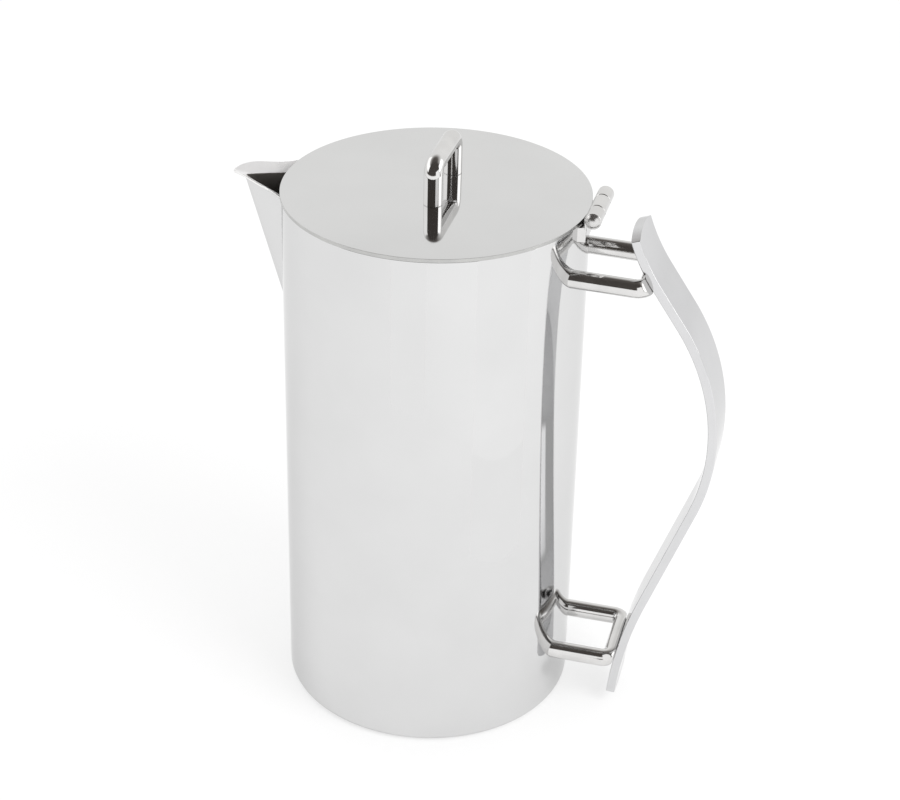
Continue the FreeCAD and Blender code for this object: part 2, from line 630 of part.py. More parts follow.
def cut_strap_end(body, curve, level, side):
    # Leaves the end as an arc across the strap's width, in a plane that leans with the strap there
    half = "(sizes.strap_width / 2)"
    radius = "((%s ^ 2 + sizes.strap_end_rise ^ 2) / (2 * sizes.strap_end_rise))" % half
    width = "(%s + sizes.cut_margin / 2)" % half
    out = "strap_profile.Constraints.%s_end" % curve
    rise = "%d * (strap_profile.Constraints.%s_up / 1 mm - %s)" % (side, curve, level)
    lean = "asin(%s / sizes.%s_curve)" % (rise, curve)
    sketch = new_sketch(body, curve + "_outline", "YZ_Plane", {"y": level, "z": out}, vec(-side, 0, 0), lean)
    turn = math.degrees(math.acos(number(width) / number(radius)))
    middle = (0, -side * number(radius))
    clear = side * number("sizes.cut_margin")
    start, end = (turn, 180 - turn) if side > 0 else (180 + turn, 360 - turn)
    rounding = arc(sketch, middle, number(radius), start, end)
    first = polar(middle, number(radius), start)
    last = polar(middle, number(radius), end)
    left = line(sketch, last, (last[0], clear))
    across = line(sketch, (last[0], clear), (first[0], clear))
    right = line(sketch, (first[0], clear), first)
    rule(sketch, "Coincident", rounding, at_end, left, at_start)
    rule(sketch, "Coincident", left, at_end, across, at_start)
    rule(sketch, "Coincident", across, at_end, right, at_start)
    rule(sketch, "Coincident", right, at_end, rounding, at_start)
    rule(sketch, "Vertical", left)
    rule(sketch, "Horizontal", across)
    rule(sketch, "Vertical", right)
    rule(sketch, "PointOnObject", rounding, at_middle, y_axis)
    rule(sketch, "Horizontal", rounding, at_start, rounding, at_end)
    rule(sketch, "PointOnObject", *origin, rounding)
    dim(sketch, "radius", radius, "Radius", rounding)
    ends = ((left, at_start), (right, at_end)) if side > 0 else ((right, at_end), (left, at_start))
    dim(sketch, "width", "2 * " + width, "DistanceX", *ends[0], *ends[1])
    levels = (origin, (across, at_start)) if side > 0 else ((across, at_start), origin)
    dim(sketch, "clear", "sizes.cut_margin", "DistanceY", *levels[0], *levels[1])
    pocket(body, sketch, curve + "_cut", both=True)


# Hinge: a foot on the pot with two outer knuckles, the lid's middle knuckle and a pin with domed ends

def make_hinge_foot():
    half = "(sizes.barrel_length / 2)"
    inner = "(sizes.middle_knuckle / 2 + sizes.knuckle_gap)"
    length = "(%s - %s)" % (half, inner)
    face = "(%s - %s)" % (hinge_x, knuckle_radius)
    top = "(sizes.rim_height - sizes.leaf_step)"
    root = "(%s - 3 * sizes.cut_margin)" % body_radius
    shape = solid("Box", "hinge_block", {"x": root, "y": "-" + half, "z": top + " - sizes.leaf_drop"},
                  Length="%s + sizes.leaf_gauge - %s" % (face, root),
                  Width="sizes.barrel_length", Height="sizes.leaf_drop")
    for name, start in (("front", "-" + half), ("rear", inner)):
        plate = solid("Box", name + "_plate", {"x": face, "y": start, "z": top},
                      Length="sizes.leaf_gauge", Width=length, Height="%s - %s" % (hinge_z, top))
        knuckle = barrel(name + "_knuckle", knuckle_radius, start, length)
        leaf = joined(name + "_leaf", plate, knuckle)
        shape = joined(name + "_foot", shape, leaf)
    bore = barrel("foot_bore", "sizes.pin_dia / 2 + sizes.pin_tight", "-" + half, "sizes.barrel_length")
    pot = solid("Cylinder", "foot_cope", {}, Radius=body_radius, Height=hinge_z)
    coped = less("coped_foot", shape, pot)
    foot = less("hinge_foot", coped, bore)
    foot.Label = "hinge_foot"
    return foot


def make_hinge_lid_leaf():
    half = "(sizes.middle_knuckle / 2)"
    root = "(%s - 3 * sizes.cut_margin)" % lid_radius
    tab = solid("Box", "lid_tab", {"x": root, "y": "-" + half, "z": lid_seat},
                Length="%s - %s" % (hinge_x, root), Width="sizes.middle_knuckle", Height="sizes.lid_gauge")
    knuckle = barrel("lid_knuckle", knuckle_radius, "-" + half, "sizes.middle_knuckle")
    leaf = joined("lid_leaf", tab, knuckle)
    bore = barrel("lid_bore", "sizes.pin_dia / 2 + sizes.pin_run", "-" + half, "sizes.middle_knuckle")
    lid = solid("Cylinder", "lid_cope", {}, Radius=lid_radius, Height="%s + sizes.knuckle_dia" % hinge_z)
    coped = less("coped_leaf", leaf, lid)
    piece = less("hinge_lid_leaf", coped, bore)
    piece.Label = "hinge_lid_leaf"
    return piece


def make_hinge_pin():
    body = new_body("hinge_pin")
    sketch = new_sketch(body, "pin_profile", "XY_Plane", {"x": hinge_x, "z": hinge_z})
    half = number("sizes.barrel_length / 2")
    pin = number("sizes.pin_dia / 2")
    head = number("sizes.pin_head_dia / 2")
    rise = number("sizes.pin_head_rise")
    dome = (head ** 2 + rise ** 2) / (2 * rise)
    turn = math.degrees(math.asin((dome - rise) / dome))
    rear_dome = arc(sketch, (0, half + rise - dome), dome, turn, 90)
    front_dome = arc(sketch, (0, -half - rise + dome), dome, 270, 360 - turn)
    rear_face = line(sketch, (head, half), (pin, half))
    shank = line(sketch, (pin, half), (pin, -half))
    front_face = line(sketch, (pin, -half), (head, -half))
    core = line(sketch, (0, -half - rise), (0, half + rise))
    rule(sketch, "Coincident", rear_dome, at_start, rear_face, at_start)
    rule(sketch, "Coincident", rear_face, at_end, shank, at_start)
    rule(sketch, "Coincident", shank, at_end, front_face, at_start)
    rule(sketch, "Coincident", front_face, at_end, front_dome, at_end)
    rule(sketch, "Coincident", front_dome, at_start, core, at_start)
    rule(sketch, "Coincident", core, at_end, rear_dome, at_end)
    rule(sketch, "Horizontal", rear_face)
    rule(sketch, "Vertical", shank)
    rule(sketch, "Horizontal", front_face)
    rule(sketch, "PointOnObject", core, at_start, y_axis)
    rule(sketch, "PointOnObject", core, at_end, y_axis)
    rule(sketch, "PointOnObject", rear_dome, at_middle, y_axis)
    rule(sketch, "PointOnObject", front_dome, at_middle, y_axis)
    dim(sketch, "pin", "sizes.pin_dia / 2", "DistanceX", *origin, shank, at_start)
    dim(sketch, "rear_half", "sizes.barrel_length / 2", "DistanceY", *origin, shank, at_start)
    dim(sketch, "front_half", "sizes.barrel_length / 2", "DistanceY", shank, at_end, *origin)
    dim(sketch, "rear_head", "sizes.pin_head_dia / 2", "DistanceX", *origin, rear_face, at_start)
    dim(sketch, "front_head", "sizes.pin_head_dia / 2", "DistanceX", *origin, front_face, at_end)
    dim(sketch, "rear_rise", "sizes.pin_head_rise", "DistanceY", rear_face, at_start, rear_dome, at_end)
    dim(sketch, "front_rise", "sizes.pin_head_rise", "DistanceY", front_dome, at_start, front_face, at_end)
    turned = body.newObject("PartDesign::Revolution", "pin")
    turned.Profile = sketch
    turned.ReferenceAxis = (sketch, ["V_Axis"])
    return body


# Build every piece, test it and write it

pieces = [
    make_body_wall(),
    make_base_plate(),
    make_spout(),
    make_hinge_foot(),
    make_hinge_pin(),
    make_handle_strap(),
    make_bracket("upper", "top", upper_height),
    make_bracket("lower", "foot", lower_height),
    make_lid_plate(),
    make_lid_skirt(),
    make_hinge_lid_leaf(),
    make_knob(),
]
doc.recompute()

for item in doc.Objects:
    if "Invalid" in item.State or "Error" in item.State:
        raise RuntimeError("%s failed: %s" % (item.Name, item.State))
for piece in pieces:
    if piece.Shape.isNull() or not piece.Shape.isValid():
        raise RuntimeError("%s has no valid shape" % piece.Label)
    if len(piece.Shape.Solids) != 1:
        raise RuntimeError("%s is %d solids" % (piece.Label, len(piece.Shape.Solids)))

os.makedirs("parts", exist_ok=True)
for piece in pieces:
    piece.Shape.exportStep("parts/%s.step" % piece.Label)
    box = piece.Shape.BoundBox
    print("%-15s %9.1f mm3  X %.2f..%.2f  Y %.2f..%.2f  Z %.2f..%.2f" % (
        piece.Label, piece.Shape.Volume, box.XMin, box.XMax, box.YMin, box.YMax, box.ZMin, box.ZMax))
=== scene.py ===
import bmesh
import bpy
import numpy as np
from mathutils import Matrix, Vector


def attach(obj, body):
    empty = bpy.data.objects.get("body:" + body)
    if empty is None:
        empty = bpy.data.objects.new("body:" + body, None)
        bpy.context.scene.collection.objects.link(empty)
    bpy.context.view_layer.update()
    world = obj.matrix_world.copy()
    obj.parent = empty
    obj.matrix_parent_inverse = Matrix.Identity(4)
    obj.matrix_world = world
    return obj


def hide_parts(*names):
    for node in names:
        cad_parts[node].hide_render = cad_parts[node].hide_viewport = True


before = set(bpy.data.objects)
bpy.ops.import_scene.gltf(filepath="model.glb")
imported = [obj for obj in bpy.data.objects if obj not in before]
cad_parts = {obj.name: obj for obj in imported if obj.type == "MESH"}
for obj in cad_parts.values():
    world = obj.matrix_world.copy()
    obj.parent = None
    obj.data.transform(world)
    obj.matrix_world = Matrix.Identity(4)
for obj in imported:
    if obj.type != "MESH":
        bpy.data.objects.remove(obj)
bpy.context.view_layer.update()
print("frame loaded with", len(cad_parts), "nodes")

# Polished steel coffee pot. Its sizes below are in millimetres and degrees, in the frame of the CAD model,
# and those of the studio round it in metres and degrees.
millimetre = 0.001


# Materials

def linear(hexColour):
    # sRGB hex to linear RGBA
    level = np.array([int(hexColour[i:i + 2], 16) for i in (1, 3, 5)]) / 255
    level = np.where(level <= 0.04045, level / 12.92, ((level + 0.055) / 1.055) ** 2.4)
    return (*level.tolist(), 1.0)


def addNode(tree, kind, inputs=None, **settings):
    # adds a node with its settings; each input is a plain value or another node's output to link
    node = tree.nodes.new(kind)
    for key, value in settings.items():
        setattr(node, key, value)
    for key, value in (inputs or {}).items():
        if isinstance(value, bpy.types.NodeSocket):
            tree.links.new(value, node.inputs[key])
        else:
            node.inputs[key].default_value = value
    return node


def perMetre(sizeInMm):
    # texture scale at which one feature is about this large
    return 1 / (sizeInMm * millimetre)


# how fine each noise is, and the values of the cloud noise between which a finish runs from dull to bright
grain = {"cloudDetail": 3.0, "lineDetail": 2.0, "waveDetail": 1.0, "cloudSpan": (0.3, 0.7)}


def steel(name, look):
    # metallic surface with a cloudy tint, cloudy roughness and fine lines left by the polishing wheel, which
    # are drawn coarser than real ones so that they show; graze is how far steel holds back from a full mirror
    # at a flat angle, scatter what a matt finish spreads
    dullest, brightest = grain["cloudSpan"]
    material = bpy.data.materials.new(name)
    material.use_nodes = True
    tree = material.node_tree
    tree.nodes.clear()
    place = addNode(tree, "ShaderNodeTexCoord").outputs["Object"]
    cloud = addNode(tree, "ShaderNodeTexNoise",
                    {"Vector": place, "Scale": perMetre(look["cloud"]), "Detail": grain["cloudDetail"]})
    tint = addNode(tree, "ShaderNodeValToRGB", {"Fac": cloud.outputs["Fac"]})
    tint.color_ramp.elements[0].position = dullest
    tint.color_ramp.elements[0].color = linear(look["dull"])
    tint.color_ramp.elements[1].position = brightest
    tint.color_ramp.elements[1].color = linear(look["bright"])
    stretched = addNode(tree, "ShaderNodeMapping", {"Vector": place, "Scale": look["lineStretch"]})
    lines = addNode(tree, "ShaderNodeTexNoise",
                    {"Vector": stretched.outputs["Vector"], "Scale": perMetre(look["line"]),
                     "Detail": grain["lineDetail"]})
    haze = addNode(tree, "ShaderNodeMapRange",
                   {"Value": cloud.outputs["Fac"], "From Min": dullest, "From Max": brightest,
                    "To Min": look["roughness"][0], "To Max": look["roughness"][1]})
    wave = addNode(tree, "ShaderNodeTexNoise",
                   {"Vector": place, "Scale": perMetre(look["wave"]), "Detail": grain["waveDetail"]})
    waved = addNode(tree, "ShaderNodeBump",
                    {"Height": wave.outputs["Fac"], "Strength": 1.0,
                     "Distance": look["waveDepth"] * millimetre})
    lined = addNode(tree, "ShaderNodeBump",
                    {"Height": lines.outputs["Fac"], "Strength": 1.0,
                     "Distance": look["lineDepth"] * millimetre, "Normal": waved.outputs["Normal"]})
    surface = addNode(tree, "ShaderNodeBsdfPrincipled",
                      {"Base Color": tint.outputs["Color"], "Metallic": 1.0 - look.get("scatter", 0.0),
                       "Specular Tint": linear(look["graze"]), "Roughness": haze.outputs["Result"],
                       "Normal": lined.outputs["Normal"]})
    addNode(tree, "ShaderNodeOutputMaterial", {"Surface": surface.outputs["BSDF"]})
    return material


# Mirror-polished stainless sheet: a clear reflection with a faint buffing haze and a barely uneven surface
mirrorSteel = steel("mirror polished stainless sheet", {
    "bright": "#DBDBDB", "dull": "#D8D8D8", "graze": "#F0F0F0", "cloud": 26, "roughness": (0.035, 0.06),
    "wave": 60, "waveDepth": 0.02, "line": 0.5, "lineStretch": (1, 1, 0.04), "lineDepth": 0.00002})
# Polished stainless rod: mirror bright, with fine draw lines
rodSteel = steel("polished stainless rod", {
    "bright": "#DFDEDD", "dull": "#D5D4D3", "graze": "#F0F0F0", "cloud": 8, "roughness": (0.04, 0.08),
    "wave": 20, "waveDepth": 0.003, "line": 0.4, "lineStretch": (1, 0.1, 1), "lineDepth": 0.00002})
# Brushed stainless rod: the brackets, finished by hand after welding, a little softer than the knob
bracketSteel = steel("brushed stainless rod", {
    "bright": "#DFDEDD", "dull": "#D5D4D3", "graze": "#F0F0F0", "cloud": 8, "roughness": (0.09, 0.13),
    "wave": 20, "waveDepth": 0.003, "line": 0.4, "lineStretch": (0.1, 1, 1), "lineDepth": 0.00003})
# Polished stainless strip: mirror faces with fine lines along the strip
strapSteel = steel("polished stainless strip", {
    "bright": "#D8D8D9", "dull": "#D4D4D5", "graze": "#ECECEC", "cloud": 14, "roughness": (0.05, 0.09),
    "wave": 40, "waveDepth": 0.01, "line": 0.5, "lineStretch": (1, 1, 0.06), "lineDepth": 0.00003})
# Plain rolled stainless: the unpolished mill finish of inner and under faces, greyer and softer
rolledSteel = steel("plain rolled stainless", {
    "bright": "#CACAC9", "dull": "#BEBEBD", "graze": "#F0F0F0", "scatter": 0.4,
    "cloud": 12, "roughness": (0.28, 0.36), "wave": 40, "waveDepth": 0.01,
    "line": 0.35, "lineStretch": (1, 1, 0.05), "lineDepth": 0.0006})
# Linished stainless edge: the cut edge of the sheet, dressed with fine grit, so it only glows softly
edgeSteel = steel("linished stainless edge", {
    "bright": "#C2C2C0", "dull": "#B9B9B8", "graze": "#F0F0F0", "cloud": 6, "roughness": (0.20, 0.26),
    "wave": 20, "waveDepth": 0.003, "line": 0.3, "lineStretch": (1, 1, 0.2), "lineDepth": 0.0004})
# Satin stainless lip: the turned-out lip of the spout, left matt by the blasting that dressed its fold
satinSteel = steel("satin stainless lip", {
    "bright": "#E9E8E8", "dull": "#E4E3E3", "graze": "#F8F8F8", "scatter": 0.7,
    "cloud": 6, "roughness": (0.26, 0.32), "wave": 20, "waveDepth": 0.003,
    "line": 0.3, "lineStretch": (1, 1, 0.2), "lineDepth": 0.0004})
# Stainless edge of the spout's lip: its rounded edge, given a near-white base colour as a painted highlight,
# the brightest part of the pot
highlightEdgeSteel = steel("stainless lip edge, painted highlight", {
    "bright": "#F6F5F4", "dull": "#F2F1F0", "graze": "#F8F8F8", "cloud": 6, "roughness": (0.16, 0.20),
    "wave": 20, "waveDepth": 0.003, "line": 0.3, "lineStretch": (1, 1, 0.2), "lineDepth": 0.0002})
# Peened stainless rivet: a hammered and brushed head with a soft sheen
rivetSteel = steel("peened stainless rivet", {
    "bright": "#DCDBDA", "dull": "#D2D1D0", "graze": "#F0F0F0", "cloud": 4, "roughness": (0.24, 0.30),
    "wave": 6, "waveDepth": 0.003, "line": 0.3, "lineStretch": (1, 1, 1), "lineDepth": 0.0004})
# Unpolished stainless inside the spout: never reached by the wheel, so dull, and given a dark base colour as
# painted shade for the spout's deep inside
shadedInsideSteel = steel("unpolished stainless inside, painted shade", {
    "bright": "#8A8683", "dull": "#7A7673", "graze": "#F0F0F0", "scatter": 0.15,
    "cloud": 9, "roughness": (0.34, 0.46), "wave": 20, "waveDepth": 0.003,
    "line": 0.3, "lineStretch": (1, 1, 0.1), "lineDepth": 0.0006})
print("materials made")


# Surfaces

def arcPoints(middle, radius, start, end, count):
    # points on a circle from one angle to another
    turn = np.radians(np.linspace(start, end, count))
    return np.stack([middle[0] + radius * np.cos(turn), middle[1] + radius * np.sin(turn)], -1)


def fullTurn(count):
    # evenly spaced angles in degrees round a full turn, without the last, which is the first again
    return np.linspace(0, 360, count + 1)[:-1]


def gridFaces(rows, columns, wrap=False):
    # quads between neighbouring rows and columns; wrap joins the last column to the first
    row, column = np.meshgrid(np.arange(rows - 1), np.arange(columns if wrap else columns - 1), indexing="ij")
    following = (column + 1) % columns
    quads = [row * columns + column, row * columns + following,
             (row + 1) * columns + following, (row + 1) * columns + column]
    return np.stack(quads, -1).reshape(-1, 4).tolist()


def gridShell(points, wrap=False, caps=()):
    # mesh data of a rows x columns x 3 grid, with further faces given as lists of point numbers
    rows, columns = points.shape[:2]
    faces = gridFaces(rows, columns, wrap) + [list(cap) for cap in caps]
    return points.reshape(-1, 3), faces


# points and edges within these lengths in metres are merged; edges that turn by more degrees stay crisp
meshing = {"mergeWithin": 2e-6, "flatWithin": 1e-7, "crispFrom": 40}


def addPiece(name, node, body, shells, materials, finish=None):
    # one object from several shells: joins doubled points, turns faces outwards, keeps crisp edges;
    # finish gives each face's material number from its middle and normal
    points = np.concatenate([shell[0] for shell in shells]) * millimetre
    starts = np.cumsum([0] + [len(shell[0]) for shell in shells])
    faces = [[int(start + corner) for corner in face]
             for start, shell in zip(starts, shells) for face in shell[1]]
    mesh = bpy.data.meshes.new(name)
    mesh.from_pydata(points.tolist(), [], faces)
    work = bmesh.new()
    work.from_mesh(mesh)
    bmesh.ops.remove_doubles(work, verts=work.verts, dist=meshing["mergeWithin"])
    bmesh.ops.dissolve_degenerate(work, edges=work.edges, dist=meshing["flatWithin"])
    bmesh.ops.recalc_face_normals(work, faces=work.faces)
    work.to_mesh(mesh)
    work.free()
    for material in materials:
        mesh.materials.append(material)
    if finish:
        centres = np.empty(len(mesh.polygons) * 3)
        mesh.polygons.foreach_get("center", centres)
        normals = np.empty(len(mesh.polygons) * 3)
        mesh.polygons.foreach_get("normal", normals)
        chosen = finish(centres.reshape(-1, 3) / millimetre, normals.reshape(-1, 3))
        mesh.polygons.foreach_set("material_index", chosen.astype(np.int32))
    mesh.polygons.foreach_set("use_smooth", np.ones(len(mesh.polygons), bool))
    mesh.set_sharp_from_angle(angle=np.radians(meshing["crispFrom"]))
    mesh.update()
    piece = bpy.data.objects.new(name, mesh)
    bpy.context.scene.collection.objects.link(piece)
    weighted = piece.modifiers.new("weighted", "WEIGHTED_NORMAL")
    weighted.keep_sharp = True
    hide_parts(node)
    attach(piece, body)
    print("made", name, len(mesh.polygons), "faces")


def revolve(profile, turns):
    # radius, height profile carried round the pot's axis: x = r cos, y = r sin
    turn = np.radians(turns)[None, :]
    radius, height = profile[:, :1], profile[:, 1:]
    return np.stack([radius * np.cos(turn), radius * np.sin(turn), height + 0 * turn], -1)


# Pot wall

wall = {"radius": 50.0, "gauge": 0.8, "rim": 184.9, "footRoll": 3.0, "rimRound": 0.25,
        "notchRoot": 141.5, "notchTop": 186.9, "notchHalf": 7.4, "turns": 288, "notchTurns": 28,
        # rows of points: close to the foot's roll, evenly between, and close to the rim
        "lowRows": (0.15, 0.6, 2), "evenFrom": 6, "evenTo": 3, "evenRows": 22, "highRow": 1,
        "rollRows": 19, "innerRollRows": 15, "rimRows": 6, "insideMargin": 0.05}


def notchHalfAtRim():
    # half width of the pouring notch where its sides reach the rim
    return wall["notchHalf"] * (wall["rim"] - wall["notchRoot"]) / (wall["notchTop"] - wall["notchRoot"])


def makeWall():
    # closed sheet profile carried round the axis; behind the spout its upper edge drops to a V
    outer, gauge, rim, roll, edge = (wall[key] for key in ("radius", "gauge", "rim", "footRoll", "rimRound"))
    inner = outer - gauge
    straight = rim - roll
    even = np.linspace(wall["evenFrom"], straight - wall["evenTo"], wall["evenRows"])
    rise = np.concatenate([wall["lowRows"], even, [straight - wall["highRow"]]])
    up = np.stack([np.full_like(rise, outer), rise + roll], -1)
    down = np.stack([np.full_like(rise, inner), rise[::-1] + roll], -1)
    profile = np.concatenate([
        arcPoints((outer - roll, roll), roll, 270, 360, wall["rollRows"]), up,
        arcPoints((outer - edge, rim - edge), edge, 0, 90, wall["rimRows"]),
        arcPoints((inner + edge, rim - edge), edge, 90, 180, wall["rimRows"]), down,
        arcPoints((outer - roll, roll), roll - gauge, 360, 270, wall["innerRollRows"]), [(outer - roll, 0)]])
    half = np.degrees(np.arcsin(notchHalfAtRim() / outer))
    turns = np.concatenate([np.linspace(180 - half, 180 + half, wall["notchTurns"] + 1)[:-1],
                            np.linspace(180 + half, 540 - half, wall["turns"] + 1)[:-1]])
    points = revolve(profile, turns)
    slope = (wall["notchTop"] - wall["notchRoot"]) / wall["notchHalf"]
    edgeLevel = np.where(points[..., 0] < 0, wall["notchRoot"] + slope * np.abs(points[..., 1]), rim)
    share = (np.minimum(edgeLevel, rim) - roll) / straight
    above = points[..., 2] > roll
    points[..., 2] = np.where(above, roll + (points[..., 2] - roll) * share, points[..., 2])
    inside = inner + wall["insideMargin"]
    addPiece("pot_wall", "body_wall", "pot", [gridShell(points, wrap=True)],
             [mirrorSteel, rolledSteel],
             finish=lambda centre, normal: np.hypot(centre[:, 0], centre[:, 1]) < inside)


makeWall()

# Base disc

base = {"radius": 46.95, "gauge": 1.0, "edge": 0.15, "turns": 144,
        # rows of points on each face, how far they end from the edge's round, and rows on that round
        "faceRows": 12, "faceClear": 1, "edgeRows": 4}


def makeBase():
    # disc profile carried round the axis, with a small round on both edges
    radius, gauge, edge = base["radius"], base["gauge"], base["edge"]
    middle = radius - edge
    flat = middle - base["faceClear"]
    profile = np.concatenate([
        np.linspace((0, 0), (flat, 0), base["faceRows"]),
        arcPoints((middle, edge), edge, 270, 360, base["edgeRows"]),
        arcPoints((middle, gauge - edge), edge, 0, 90, base["edgeRows"]),
        np.linspace((flat, gauge), (0, gauge), base["faceRows"])])
    points = revolve(profile, fullTurn(base["turns"]))
    addPiece("base_disc", "base_plate", "pot", [gridShell(points, wrap=True)], [rolledSteel])


makeBase()

# Spout

# root, fold and lip: height, how far the nose stands out, its rounding and the slope of the sides
spout = {"levels": (133.5, 182.8, 183.75), "nose": (0.3, 14.95, 18.85), "noseRound": (1.2, 0.75, 2.4),
         "slope": (0.45, 0.575, 0.46), "splay": 0.36, "splayFrom": 14.5, "splaySoft": 0.8, "foldFall": 0.085,
         "lipRise": 1.1, "lipRiseAt": 4.5, "lipRiseSpan": 6.5, "lipDip": 0.75, "lipDipSpan": 0.9,
         "gauge": 0.6, "foldSoften": 0.15, "foldWidth": 5.0, "edge": 0.08, "overlap": 0.3, "columns": 97,
         "lipFlat": 0.6, "searchRun": 26, "searchSteps": 400,
         # rows of points on the body, round the fold and on the lip, and how far from the fold each set ends
         "bodyRows": 44, "bodyEnd": 1, "foldRows": 15, "foldEnd": 0.8, "lipRows": 14, "lipStart": 1.1,
         # shifted copies averaged at the fold
         "foldCopies": 9,
         # how far inside the wall the point lies that the sheet's inner face is turned to
         "sideFrom": 4}


def spoutSheet(stage):
    # stage 0 is the root, 1 the fold, 2 the lip; at each, half width = sqrt(2 R s + (slope s)^2) at a run s
    # behind the nose, splayed near the pot, as far as the pot's wall; the fold falls towards the pot, and the
    # lip rises behind the nose and dips at it
    nose, bend, slope = (np.interp(stage, (0, 1, 2), spout[key])[:, None]
                         for key in ("nose", "noseRound", "slope"))
    flared = np.clip(stage - 1, 0, 1)[:, None]

    def width(run):
        soft = spout["splaySoft"]
        splay = soft * np.log1p(np.exp((run - spout["splayFrom"]) / soft))
        return np.sqrt(2 * bend * run + (slope * run) ** 2) + flared * spout["splay"] * splay

    tried = np.linspace(0, 1, spout["searchSteps"])[None, :] ** 2 * spout["searchRun"]
    away = np.hypot(wall["radius"] + nose - tried, width(tried))
    reach = wall["radius"] - spout["overlap"]
    last = np.array([np.interp(-reach, -row, tried[0]) for row in away])[:, None]
    across = np.linspace(-1, 1, spout["columns"])[None, :]
    run = last * across ** 2
    rise = spout["lipRise"] * np.exp(-((run - spout["lipRiseAt"]) / spout["lipRiseSpan"]) ** 2)
    lip = spout["levels"][2] + rise - spout["lipDip"] * np.exp(-run / spout["lipDipSpan"])
    body = np.interp(stage, (0, 1), spout["levels"][:2])[:, None]
    body = body - np.clip(stage, 0, 1)[:, None] * spout["foldFall"] * run
    level = body + flared * (lip - body)
    return np.stack([run - nose - wall["radius"], np.sign(across) * width(run), level], -1)


def unit(vectors):
    # each vector divided by its own length
    return vectors / np.linalg.norm(vectors, axis=-1, keepdims=True)


def makeSpout():
    # the sheet's outside, its inside one gauge further in, and an upright cut edge along the lip
    bodyLength = spout["levels"][1] - spout["levels"][0]
    soften, gauge, edge = spout["foldSoften"], spout["gauge"], spout["edge"]
    whole = bodyLength + spout["foldWidth"]
    travel = np.concatenate([
        np.linspace(0, bodyLength - spout["bodyEnd"], spout["bodyRows"]),
        bodyLength + np.linspace(-spout["foldEnd"], spout["foldEnd"], spout["foldRows"]),
        np.linspace(bodyLength + spout["lipStart"], whole, spout["lipRows"])])
    nearFold = np.where(np.abs(travel - bodyLength) < spout["bodyEnd"], soften, 0)
    marks = (0, bodyLength, whole)
    outside = np.mean([spoutSheet(np.interp(travel + shift * nearFold, marks, (0, 1, 2)))
                       for shift in np.linspace(-1, 1, spout["foldCopies"])], 0)
    upward = unit(np.gradient(outside, axis=0))
    outward = unit(np.cross(np.gradient(outside, axis=1), upward))
    outward = outward * -np.sign(outward[0, spout["columns"] // 2, 0])
    inside = outside - gauge * outward
    # the lip is cut upright, so its inside runs on by the gauge times the lip's lean
    lean = upward[-1, :, 2:] / np.hypot(upward[-1, :, :1], upward[-1, :, 1:2])
    inside[-1] += upward[-1] * gauge * lean
    low, high = outside[-1].copy(), inside[-1].copy()
    outside[-1] -= upward[-1] * edge
    inside[-1] -= upward[-1] * edge
    rise = np.array([0.0, 0.0, edge])
    rim = np.stack([low + rise, (low + high) / 2, high - rise])
    loop = np.concatenate([outside, rim, inside[::-1], outside[:1]])
    columns = loop.shape[1]
    count = len(travel)
    caps = []
    for column in (0, columns - 1):
        partner = 2 * count + len(rim) - 1
        row = np.arange(count - 1)
        quads = np.stack([row, row + 1, partner - row - 1, partner - row], -1) * columns + column
        caps += quads.tolist()
        caps.append((np.arange(count - 1, count + len(rim) + 1) * columns + column).tolist())
    addPiece("pouring_spout", "spout", "pot", [gridShell(loop, caps=caps)],
             [mirrorSteel, shadedInsideSteel, satinSteel, highlightEdgeSteel], finish=spoutFinish)


def spoutFinish(centre, normal):
    # of the faces turned towards the middle of the spout, the flat lip is satin and the rest gets the dark
    # steel that paints shade inside the spout; the upright edge of the lip gets the near-white steel of the
    # painted highlight
    middle = spout["sideFrom"] - wall["radius"]
    inward = normal[:, 0] * (centre[:, 0] - middle) + normal[:, 1] * centre[:, 1] < 0
    lipEdge = (centre[:, 2] > spout["levels"][1]) & (np.abs(normal[:, 2]) < 1 - spout["lipFlat"])
    return np.select([inward & (normal[:, 2] > spout["lipFlat"]), inward, lipEdge], [2, 1, 3], 0)


makeSpout()

# Lid with its locating ring

lid = {"radius": 50.4, "seat": 185.0, "gauge": 1.2, "crown": 1.0, "edge": 0.06, "lowEdge": 0.1,
       "ringOut": 48.6, "ringIn": 47.8, "ringFoot": 180.0, "ringSink": 0.02, "turns": 288, "ringTurns": 192,
       # rows of points on the faces, and in degrees where the edge's rounds meet the crowned faces
       "rows": 26, "firstRow": 1, "rowsEnd": 1.5, "lastUnder": 0.5, "lastOver": 0.4,
       "lowEdgeRows": 5, "edgeRows": 9, "lowEdgeFrom": 272, "edgeTo": 87.7,
       "ringRows": 4, "ringFootRows": 13, "ringClear": 1,
       # upward part of the normal below which a face is the underside, or the cut edge
       "underBelow": -0.5, "edgeBelow": 0.985}
lid["sphere"] = (lid["radius"] ** 2 + lid["crown"] ** 2) / (2 * lid["crown"])


def crownDrop(radius):
    # fall of the lid's spherical crown at a distance from the middle
    return lid["sphere"] - np.sqrt(lid["sphere"] ** 2 - radius ** 2)


